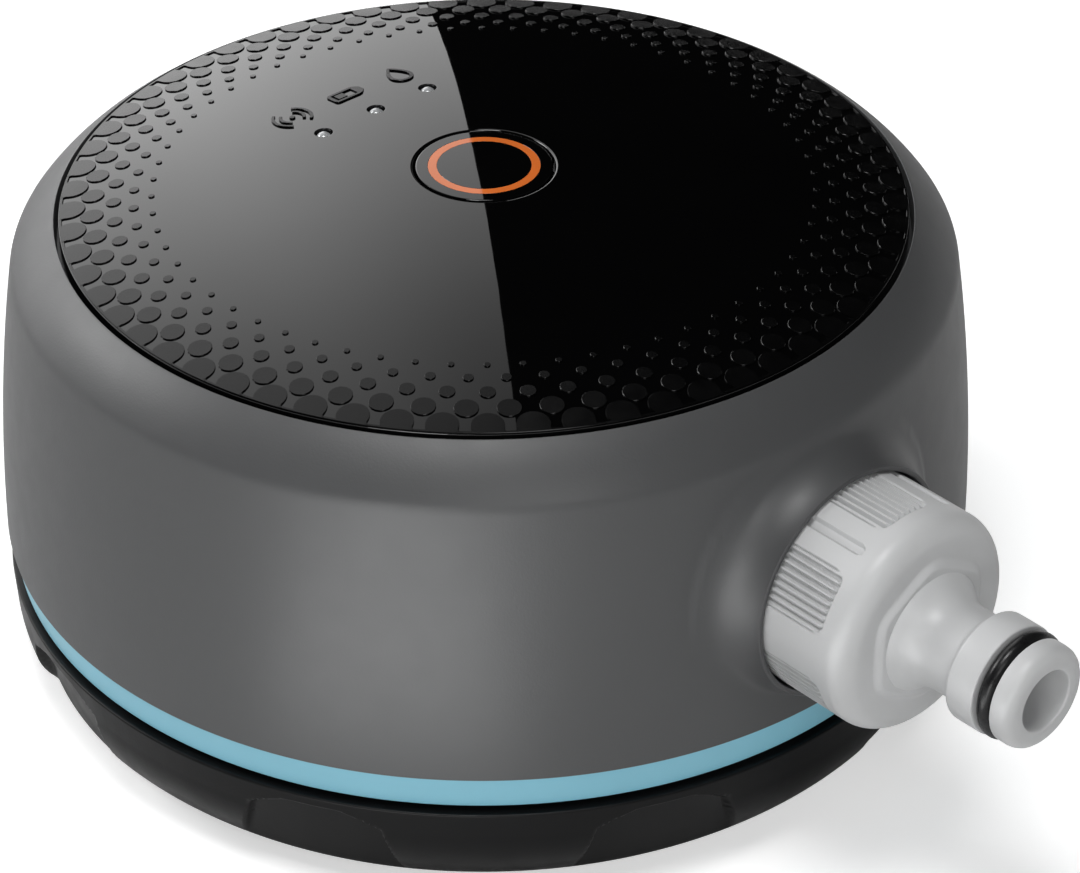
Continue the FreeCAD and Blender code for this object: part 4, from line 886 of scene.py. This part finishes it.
def build_signs(context):
    """The three raised signs over the lenses: radio waves, battery and water drop."""
    face = in_mm(context.scene.valve_face)
    skin = Skin()
    lift = 0.26
    radio = (-10.5, 32.5)
    for radius, width, half in ((3.0, 0.5, 55), (1.85, 0.5, 52)):
        stroke(skin, bend(radio, radius, 180 - half, 180 + half), width, lift, face)
        stroke(skin, bend(radio, radius, -half, half), width, lift, face)
    stroke(skin, bend(radio, 0.24, 0, 360, 17)[:-1], 0.46, lift, face, closed=True)
    left, right, low, high, cut = -2.55, 2.0, 31.05, 33.52, 0.3
    corners = [bend((x, y), cut, first, first + 90, 4) for x, y, first in (
        (right - cut, high - cut, 0), (left + cut, high - cut, 90), (left + cut, low + cut, 180),
        (right - cut, low + cut, 270))]
    stroke(skin, np.concatenate(corners), 0.55, lift, face, closed=True)
    middle = (low + high) / 2
    stroke(skin, [(x, middle) for x in (2.1, 2.5, 2.9, 3.1)], np.array([2.9, 2.4, 1.6, 1.3]), lift, face)
    stroke(skin, [(x, middle) for x in (-1.85, -1.0, -0.2)], 1.45, lift, face)
    bowl = bend((10.3, 31.2), 1.72, 158, 382, 24)
    tip = (10.45, 34.5)
    flanks = [bow(bowl[-1], tip, 0.2, 7)[:-1], bow(tip, bowl[0], 0.2, 7)[:-1]]
    stroke(skin, np.concatenate([bowl[:-1]] + flanks), 0.56, lift, face, closed=True)
    skin.finish("face_signs", "valve", finish_of("sign black"), "panel", sharp=30)


def build_button(context):
    """The button's cap with its groove, and the orange ring in it: two closed outlines, turned."""
    face = in_mm(context.scene.valve_face)
    foot = BUTTON_BOX[0].z * 1000
    inner, outer, edge = face.ring_inner, face.ring_outer, face.button_radius
    flange, stem = 12.55, 3.0

    def high(radius, drop=0.0):
        """A point of the outline on the dome, lowered by drop."""
        return (radius, float(dome_height(radius, face)) - drop)

    top = [high(r) for r in (0, 2.5, 5.0, inner - 0.2, inner - 0.02)]
    land = [high(r) for r in (outer + 0.02, outer + 0.2, edge - 0.6, edge - 0.2, edge - 0.16)]
    round_edge = [high(edge - 0.1, 0.02), high(edge - 0.04, 0.06), high(edge, 0.16)]
    groove = [high(inner, 0.02), high(inner, 1.8), high(outer, 1.8), high(outer, 0.02)]
    profile = np.array(top + groove + land + round_edge + [
        (edge, 78.7), (flange, 78.7), (flange, 77.3), (stem, 77.3), (stem, foot), (0, foot)])
    skin = Skin()
    skin.turn(profile.T, around(160))
    skin.finish("button_cap_shell", "button", finish_of("black gloss"), "panel", ["button_cap"], 30)
    flat = [high(r) for r in (inner + 0.03, inner + 0.06, (inner + outer) / 2, outer - 0.06, outer - 0.03)]
    profile = np.array([high(inner + 0.01, 1.7), high(inner + 0.01, 0.03)] + flat
                       + [high(outer - 0.01, 0.03), high(outer - 0.01, 1.7), high(inner + 0.01, 1.7)])
    skin = Skin()
    skin.turn(profile.T, around(160))
    skin.finish("button_light_ring", "button", finish_of("orange light guide"), "light_ring",
                ["button_ring"], 30)


def build_lenses(context):
    """The three status lenses: a rod with a low domed top and a flange below, turned and moved."""
    face = in_mm(context.scene.valve_face)
    skin = Skin()
    for x in (-face.lens_pitch, 0.0, face.lens_pitch):
        level = float(dome_height(math.hypot(x, face.lens_row), face)) + 0.04
        foot = level - 2.6
        reach = np.linspace(0, 1.12, 10)
        crown = pairs(reach, level - 0.6 * (reach / 1.12) ** 2)
        profile = np.concatenate([crown, [(1.2, level - 0.84), (1.2, foot), (2.25, foot), (2.25, foot - 1.0),
                                          (1.2, foot - 1.0), (1.2, 72.3), (0, 72.3)]])
        points = turned(profile.T, around(40))
        skin.weave(skin.add(points + [x, face.lens_row, 0]))
    skin.finish("status_lenses", "valve", finish_of("clear light guide"), "lens", ["indicator_lenses"], 30)


# ---------------------------------------------------------------- connector, spigots and inlet nut

def grip_depth(angle, distance, nut_radius, end):
    """How far the nut's side is cut in at an angle round it and a distance along it.

    Six panels with rounded front corners hold nine ribs each; a U-shaped groove runs in four of the six
    gaps between them. Each is an S curve of the distance to its edge.
    """
    sixth = FULL_TURN / 6
    local = wrapped(angle - math.pi / 2, sixth)
    across = nut_radius * np.sin(local)
    half = nut_radius * math.sin(math.radians(17))
    inside = soft_min(half - np.abs(across), end - distance, 2.4)
    rib_pitch = math.radians(34) / 9
    phase = np.abs(wrapped(local, rib_pitch)) / rib_pitch
    rib = 0.7 * smoothstep(0.36, 0.12, phase) * smoothstep(end - 0.25, end - 0.8, distance)
    panel = smoothstep(0, 0.35, inside) * (0.8 - rib)
    between = angle - math.pi / 2 - sixth / 2
    number = np.round(between / sixth) % 3
    gap = nut_radius * np.sin(wrapped(between, sixth))
    tail = np.maximum(distance - (end - 0.95), 0)
    groove = 0.7 * smoothstep(0, 0.4, 0.95 - np.hypot(gap, tail)) * (number != 1)
    return np.maximum(panel, groove)


def nut_angles():
    """Angles round the nut, close together on the ribs and the grooves' sides."""
    degrees = np.concatenate([[-17.6, -17.3], np.linspace(-17, 17, 73), [17.3],
                              np.linspace(17.6, 26.2, 6)[:-1], np.linspace(26.2, 33.8, 16)[:-1],
                              np.linspace(33.8, 42.4, 6)[:-1]])
    return np.radians((90 + degrees[None] + 60 * np.arange(6)[:, None]).ravel())


def build_connector(context):
    """The connector: one closed outline turned about the outlet's axis.

    The nut's side is pressed in by the grips, and its front face is raised where the six-sided pad
    stands, by an S curve of the distance inside the pad's edge.
    """
    size = in_mm(context.scene.valve_connector)
    height = axis_height(context)
    nut, rear, front, end = size.nut_radius, size.nut_rear, size.nut_front, size.nipple_end
    bore = size.thread_radius + 0.08
    angles = nut_angles()
    fillet = 3.4
    side = np.concatenate([[rear, rear + 0.15, rear + 0.5], np.linspace(rear + 1.2, 85.6, 6),
                           np.linspace(86.0, 88.4, 13), [89.0, front - fillet]])
    side_r = nut - np.array([0.5, 0.15, 0.0] + [0.0] * (len(side) - 3))
    turn = np.linspace(0, math.pi / 2, 11)[1:]
    shoulder = on_circle((nut - fillet, front - fillet), fillet, turn)
    pad_r = np.concatenate([[12.6], np.linspace(11.9, 9.2, 19)])
    neck, collar_r, groove_r, tip_r, water_way, thread_end = 6.7, 8.45, 5.71, 7.93, 4.7, 88.6
    flare = bow((9.2, front + 1.0), (neck, front + 6.0), -0.62, 10)
    collar, groove, tip = end - 11.0, end - 6.2, end - 3.4
    nipple = outline([(neck, front + 6.0), (neck, collar - 1.0), (collar_r, collar), (collar_r, groove),
                      (groove_r, groove), (groove_r, tip), (tip_r, tip), (tip_r, end), (water_way, end),
                      (water_way, 93.6), (8.0, 89.6), (bore, 89.6), (bore, thread_end)],
                     [0, 0.9, 0.45, 0.3, 0.1, 0.1, 0.15, 2.0, 0.35, 0.3, 0.3, 0.2, 0], 6)
    thread = np.linspace(thread_end, rear + 0.9, 56)
    profile = np.concatenate([pairs(side_r, side), shoulder, pairs(pad_r, front), flare[1:], nipple[1:],
                              pairs(bore, thread)[1:], [(bore + 0.5, rear)]])
    radius, distance = on_every_angle(profile, angles)
    sides = slice(0, len(side) + 4)
    radius[sides] -= grip_depth(angles, distance[sides], nut, 88.0)
    flat = slice(len(side) + len(shoulder) - 3, len(side) + len(shoulder) + len(pad_r))
    facing = np.cos(wrapped(angles, FULL_TURN / 6))
    edge = soft_min(10.25 - radius[flat] * facing, 11.1 - radius[flat], 0.8)
    distance[flat] += 0.8 * smoothstep(-0.7, 0.7, edge)
    inner = slice(len(profile) - len(thread), len(profile) - 1)
    radius[inner] += 0.75 * thread_shape(angles, distance[inner], size.thread_pitch) * smoothstep(
        0, 1.2, np.minimum(distance[inner] - rear - 0.6, thread_end - distance[inner]))
    skin = Skin()
    skin.turn((radius, distance), angles, "outlet", height, True)
    skin.finish("hose_connector", "connector", finish_of("connector plastic"), "connector",
                ["outlet_connector"], 34)


def thread_shape(angle, distance, pitch):
    """0 on a thread's land to 1 in its groove: a softened saw of distance less turns times pitch, a helix."""
    phase = (distance - pitch * angle / FULL_TURN) / pitch
    return smoothstep(0.12, 0.42, np.abs(phase - np.round(phase)))


def build_o_ring(context):
    """The nipple's O-ring: a circle carried round the outlet's axis."""
    size = in_mm(context.scene.valve_connector)
    height = axis_height(context)
    turn = around(40)
    section, middle = 1.25, size.nipple_end - 3.4 - 0.15 - 1.25
    ring = 7.93 + 0.33 - section
    skin = Skin()
    skin.turn(on_circle((ring, middle), section, turn).T, around(120), "outlet", height, True)
    skin.finish("nipple_seal_ring", "connector", finish_of("seal rubber"), "seal", ["nipple_o_ring"])


def build_outlet_spigot(context):
    """The outlet's threaded spigot: an outline turned, its threaded part cut in along a helix."""
    size = in_mm(context.scene.valve_connector)
    height = axis_height(context)
    crest = size.thread_radius
    water_way, pipe, flange = 6.5, 9.5, 17.1
    seal_groove, clip_groove = 7.9, crest - 1.8
    start, thread_start, thread_end, end = 52.0, 75.6, 86.6, 87.2
    thread = np.linspace(thread_start, thread_end, 56)
    before = outline([(water_way, start), (pipe, start), (pipe, 56.0), (seal_groove, 56.0),
                      (seal_groove, 58.4), (pipe, 58.4), (pipe, 66.8), (crest, 66.8), (crest, 67.3),
                      (clip_groove, 67.3), (clip_groove, 69.1), (crest, 69.1), (crest, 73.2),
                      (flange, 73.2), (flange, 74.6), (crest, 74.6), (crest, thread_start)],
                     [0, 0.3, 0, 0, 0, 0, 0, 0, 0, 0, 0, 0, 0, 0.1, 0.2, 0.1, 0], 4)
    after = outline([(crest, thread_end), (crest, end), (8.0, end), (water_way, 71.2), (water_way, start)],
                    [0, 0.55, 0.4, 0, 0], 4)
    profile = np.concatenate([before, pairs(crest, thread)[1:], after[1:]])
    angles = around(120)
    radius, distance = on_every_angle(profile, angles)
    cut = slice(len(before), len(before) + len(thread) - 1)
    ease = smoothstep(0, 1.0, np.minimum(distance[cut] - thread_start, 86.9 - distance[cut]))
    radius[cut] -= ease * thread_shape(angles, distance[cut], size.thread_pitch)
    skin = Skin()
    skin.turn((radius, distance), angles, "outlet", height)
    skin.finish("outlet_thread", "valve", finish_of("spigot plastic"), "spigot", ["outlet_spigot"], 40)


def build_inlet_nut(context):
    """The swivel nut: an outline turned about the inlet's axis, with grip grooves outside, thread inside.

    A groove is a circle of 1.6 whose middle stands 0.9 off the side: its depth is sqrt(1.6 1.6 - x x) - 0.9
    at a distance x across it.
    """
    size = in_mm(context.scene.valve_connector)
    height = axis_height(context)
    nut, crest = size.inlet_nut_radius, size.inlet_thread_radius
    start, end = NUT_BOX[0].y * 1000, NUT_BOX[1].y * 1000
    pipe, thread_end, grooves = 10.48, 74.2, 16
    side = np.concatenate([np.linspace(start + 0.8, 74.6, 4), np.linspace(75.0, 76.8, 7), [78.5, end - 1.1]])
    head = outline([(pipe, start), (nut, start), (nut, start + 0.8)], [0, 0.7, 0], 4)
    thread = np.linspace(end - 0.6, thread_end, 44)
    lip = outline([(nut, end - 1.1), (nut, end), (crest + 0.8, end), (crest, end - 0.6)], [0, 1.0, 0.2, 0], 5)
    tail = outline([(crest, thread_end), (12.5, 74.1), (12.5, start + 3.4), (pipe, start + 3.4)],
                   [0, 0, 0, 0.2], 4)
    profile = np.concatenate([head, pairs(nut, side)[1:], lip[1:], pairs(crest, thread)[1:], tail[1:]])
    angles = around(grooves * 26)
    radius, distance = on_every_angle(profile, angles)
    outer = slice(2, len(head) + len(side) + 6)
    across = nut * np.sin(wrapped(angles, FULL_TURN / grooves))
    groove = np.maximum(np.sqrt(np.maximum(1.6 ** 2 - across ** 2, 0)) - 0.9, 0)
    radius[outer] -= groove * smoothstep(75.2, 76.6, distance[outer]) * (radius[outer] > nut - 1.1)
    first = len(head) + len(side) + len(lip) - 2
    inner = slice(first, first - 1 + len(thread))
    ease = smoothstep(0, 1.2, np.minimum(distance[inner] - thread_end, end - distance[inner]))
    radius[inner] += 0.95 * ease * thread_shape(angles, distance[inner], size.thread_pitch)
    skin = Skin()
    skin.turn((radius, distance), angles, "inlet", height, True)
    skin.finish("swivel_nut_shell", "swivel_nut", finish_of("connector plastic"), "connector",
                ["inlet_nut"], 34)


# ---------------------------------------------------------------- finishes of the CAD pieces that stay

# The finish of each material slot that such a piece can have
SLOT_FINISHES = {
    "spigot": "spigot plastic", "seal": "seal rubber", "silicone": "pale silicone",
    "valve_plastic": "valve plastic", "inner_plastic": "inner plastic", "board": "circuit board lacquer",
    "led": "lamp body", "steel": "bright steel", "coil_frame": "painted coil frame",
    "copper": "enamelled copper wire", "cells": "battery jacket",
}


def dress_inner_pieces(context):
    """Give every CAD piece that still shows the finish of its material slot."""
    for part in frame["record"]["subparts"]:
        piece = frame["nodes"][part["node"]]
        if piece.hide_render:
            continue
        piece.data.materials.clear()
        piece.data.materials.append(finish_of(SLOT_FINISHES[part["material_slot"]]))


# ---------------------------------------------------------------- studio

def area_lamp(name, place, target, side, watts):
    """A soft square lamp that looks at a point."""
    data = bpy.data.lights.new(name, "AREA")
    data.shape = "RECTANGLE"
    data.size = data.size_y = side
    data.energy = watts
    lamp = bpy.data.objects.new(name, data)
    lamp.location = place
    lamp.rotation_euler = (Vector(target) - place).to_track_quat("-Z", "Y").to_euler()
    bpy.context.scene.collection.objects.link(lamp)


def direction_of(azimuth, elevation):
    """Unit vector at an azimuth from +Y towards +X and an elevation, in degrees."""
    a, e = math.radians(azimuth), math.radians(elevation)
    return Vector((math.sin(a) * math.cos(e), math.cos(a) * math.cos(e), math.sin(e)))


def stage_sheet(name, corners, quads, material):
    """A flat mesh that belongs to the studio."""
    mesh = bpy.data.meshes.new(name)
    mesh.from_pydata(corners, [], quads)
    mesh.materials.append(material)
    sheet = bpy.data.objects.new(name, mesh)
    bpy.context.scene.collection.objects.link(sheet)
    return sheet


def glowing(name):
    """A material that only gives light, and the node that gives it."""
    material = bpy.data.materials.new(name)
    material.use_nodes = True
    tree = material.node_tree
    tree.nodes.clear()
    light = tree.nodes.new("ShaderNodeEmission")
    output = tree.nodes.new("ShaderNodeOutputMaterial")
    tree.links.new(light.outputs["Emission"], output.inputs["Surface"])
    return material, light


def times(tree, value, factor):
    """A Math node that multiplies a socket's value by a number or by another socket's value."""
    node = tree.nodes.new("ShaderNodeMath")
    node.operation = "MULTIPLY"
    tree.links.new(value, node.inputs[0])
    if isinstance(factor, float):
        node.inputs[1].default_value = factor
    else:
        tree.links.new(factor, node.inputs[1])
    return node.outputs["Value"]


def seen_in_reflections_only(sheet):
    """Hide a light sheet from the camera, from matt light and from shadows."""
    sheet.visible_camera = sheet.visible_diffuse = sheet.visible_shadow = False


def build_softbox():
    """The tall softbox behind the valve: a flat sheet whose light fades upwards and towards the right."""
    top = 2.6
    material, light = glowing("softbox light")
    tree = material.node_tree
    place = tree.nodes.new("ShaderNodeTexCoord")
    split = tree.nodes.new("ShaderNodeSeparateXYZ")
    tree.links.new(place.outputs["Object"], split.inputs["Vector"])
    upwards = tree.nodes.new("ShaderNodeFloatCurve")
    curve = upwards.mapping.curves[0]
    for share, strength in ((0.2, 0.92), (0.354, 0.83), (0.504, 0.64), (0.658, 0.443), (0.72, 0.392)):
        curve.points.new(share, strength)
    curve.points[0].location = (0.0, 0.80)
    curve.points[-1].location = (1.0, 0.2)
    upwards.mapping.update()
    share_of_top = tree.nodes.new("ShaderNodeMath")
    share_of_top.operation = "DIVIDE"
    share_of_top.inputs[1].default_value = top
    tree.links.new(split.outputs["Z"], share_of_top.inputs[0])
    tree.links.new(share_of_top.outputs["Value"], upwards.inputs["Value"])
    sideways = map_range(tree, split.outputs["X"], 0.70, 1.08, 3.0, 1.74)
    sideways.interpolation_type = "SMOOTHSTEP"
    strength = times(tree, upwards.outputs["Value"], sideways.outputs["Result"])
    tree.links.new(strength, light.inputs["Strength"])
    corners = [(-0.75, 2.1, 0.02), (1.0516, 1.3067, 0.02), (1.055, 1.0654, top), (-0.75, 1.86, top)]
    seen_in_reflections_only(stage_sheet("softbox_wall", corners, [(0, 1, 2, 3)], material))


def build_floor_card():
    """A light sheet flat on the floor to the front left: it makes a bright band on the wall's satin."""
    steps = 13
    turn = np.radians(np.linspace(38, 76, steps))
    arcs = [np.stack([-reach * np.sin(turn), -reach * np.cos(turn), 0.0008 + 0 * turn], axis=-1)
            for reach in (0.12, 0.42)]
    near = np.arange(steps - 1)
    quads = np.stack([near, near + 1, near + 1 + steps, near + steps], axis=-1)
    material, light = glowing("floor card light")
    light.inputs["Strength"].default_value = 4.6
    sheet = stage_sheet("floor_card", np.concatenate(arcs).tolist(), quads.tolist(), material)
    seen_in_reflections_only(sheet)


def build_world():
    """White for the camera, a soft grey for everything lit, and dark overhead in reflections."""
    world = bpy.data.worlds.new("studio")
    bpy.context.scene.world = world
    world.use_nodes = True
    tree = world.node_tree
    back = tree.nodes["Background"]
    back.inputs["Color"].default_value = (1, 1, 1, 1)
    path = tree.nodes.new("ShaderNodeLightPath")
    place = tree.nodes.new("ShaderNodeTexCoord")
    split = tree.nodes.new("ShaderNodeSeparateXYZ")
    tree.links.new(place.outputs["Generated"], split.inputs["Vector"])
    horizon = map_range(tree, split.outputs["Z"], 0.0, 0.10, 1.6, 0.003)
    glossy = tree.nodes.new("ShaderNodeMix")
    glossy.inputs["A"].default_value = 0.11
    tree.links.new(horizon.outputs["Result"], glossy.inputs["B"])
    tree.links.new(path.outputs["Is Glossy Ray"], glossy.inputs["Factor"])
    camera = tree.nodes.new("ShaderNodeMix")
    camera.inputs["B"].default_value = 1.0
    tree.links.new(glossy.outputs["Result"], camera.inputs["A"])
    tree.links.new(path.outputs["Is Camera Ray"], camera.inputs["Factor"])
    tree.links.new(camera.outputs["Result"], back.inputs["Strength"])


def build_floor():
    """A pale floor that keeps the shadow: matte, with a little light of its own for the camera only."""
    material = bpy.data.materials.new("pale floor")
    material.use_nodes = True
    tree = material.node_tree
    shader = tree.nodes["Principled BSDF"]
    shader.inputs["Base Color"].default_value = (0.86, 0.86, 0.86, 1)
    shader.inputs["Roughness"].default_value = 0.9
    shader.inputs["Specular IOR Level"].default_value = 0.0
    shader.inputs["Emission Color"].default_value = (1, 1, 1, 1)
    path = tree.nodes.new("ShaderNodeLightPath")
    glow = times(tree, path.outputs["Is Camera Ray"], 0.5)
    tree.links.new(glow, shader.inputs["Emission Strength"])
    reach = 4.0
    corners = [(-reach, -reach, 0), (reach, -reach, 0), (reach, reach, 0), (-reach, reach, 0)]
    stage_sheet("floor", corners, [(0, 1, 2, 3)], material)


def build_stage(context):
    """Camera, floor, world, the tall softbox and the soft lamps."""
    stage = context.scene.valve_stage
    scene = context.scene
    scene.view_settings.view_transform = "Standard"
    data = bpy.data.cameras.new("camera")
    data.lens = stage.camera_lens
    data.sensor_fit = "HORIZONTAL"
    data.sensor_width = 36.0
    data.clip_start, data.clip_end = 0.01, 100.0
    camera = bpy.data.objects.new("camera", data)
    camera.location = stage.camera_place
    camera.rotation_euler = Vector(stage.camera_view).to_track_quat("-Z", "Y").to_euler()
    scene.collection.objects.link(camera)
    scene.camera = camera
    build_floor()
    build_world()
    build_softbox()
    build_floor_card()
    middle, distance, side = (0, 0, 0.05), 1.5, 0.5
    for name, azimuth, elevation, watts in (("far_left", -30, 35, 8.4), ("front", -150, 35, 3.6),
                                            ("front_low", -120, 8, 5.0), ("overhead", -120, 75, 10.4)):
        area_lamp(name, direction_of(azimuth, elevation) * distance, middle, side, watts)


# ---------------------------------------------------------------- operators, panel, registration

def operator(name, label, description, builder):
    """An operator class that runs one builder; a builder that can't finish raises an error."""
    def execute(self, context):
        builder(context)
        return {"FINISHED"}

    return type("VALVE_OT_" + name, (bpy.types.Operator,), {
        "__doc__": description, "bl_idname": "valve." + name, "bl_label": label, "execute": execute})


OPERATORS = [
    operator("housing", "Housing", "Build the grey housing with its two ports", build_housing),
    operator("accent_ring", "Blue ring", "Build the blue ring round the foot", build_accent_ring),
    operator("cover", "Battery cover", "Build the black battery cover with its finger recesses", build_cover),
    operator("panel", "Face", "Build the glossy domed face", build_panel),
    operator("dots", "Dots", "Build the raised dots on the face", build_dots),
    operator("rim_band", "Rim band", "Build the scalloped band at the face's edge", build_rim_band),
    operator("signs", "Signs", "Build the raised signs on the face", build_signs),
    operator("button", "Button", "Build the push button and its orange ring", build_button),
    operator("lenses", "Status lenses", "Build the three status lenses", build_lenses),
    operator("connector", "Connector", "Build the nut and nipple of the outlet", build_connector),
    operator("o_ring", "O-ring", "Build the nipple's O-ring", build_o_ring),
    operator("outlet_spigot", "Outlet spigot", "Build the outlet's threaded spigot", build_outlet_spigot),
    operator("inlet_nut", "Inlet nut", "Build the inlet's swivel nut", build_inlet_nut),
    operator("inner_pieces", "Inner pieces", "Give the inner pieces their finishes", dress_inner_pieces),
    operator("stage", "Studio", "Build the camera, floor and lights", build_stage),
]


class VALVE_PT_tools(bpy.types.Panel):
    """Lists the valve's operators and sizes in the sidebar."""
    bl_idname = "VALVE_PT_tools"
    bl_label = "Garden water valve"
    bl_space_type = "VIEW_3D"
    bl_region_type = "UI"
    bl_category = "Valve"

    def draw(self, context):
        for made in OPERATORS:
            self.layout.operator(made.bl_idname)
        for name in GROUPS:
            group = getattr(context.scene, name)
            column = self.layout.column()
            for size in group.__annotations__:
                column.prop(group, size)


GROUPS = {
    "valve_body": BodySizes,
    "valve_face": FaceSizes,
    "valve_cover": CoverSizes,
    "valve_connector": ConnectorSizes,
    "valve_colours": FinishColours,
    "valve_stage": StageSizes,
}


def register():
    for group in GROUPS.values():
        bpy.utils.register_class(group)
    for made in OPERATORS + [VALVE_PT_tools]:
        bpy.utils.register_class(made)
    for name, group in GROUPS.items():
        setattr(bpy.types.Scene, name, PointerProperty(type=group))


def unregister():
    for name in GROUPS:
        delattr(bpy.types.Scene, name)
    for made in reversed(list(GROUPS.values()) + OPERATORS + [VALVE_PT_tools]):
        bpy.utils.unregister_class(made)


def main():
    register()
    for made in OPERATORS:
        getattr(bpy.ops.valve, made.bl_idname.split(".")[1])()


if __name__ == "__main__":
    main()
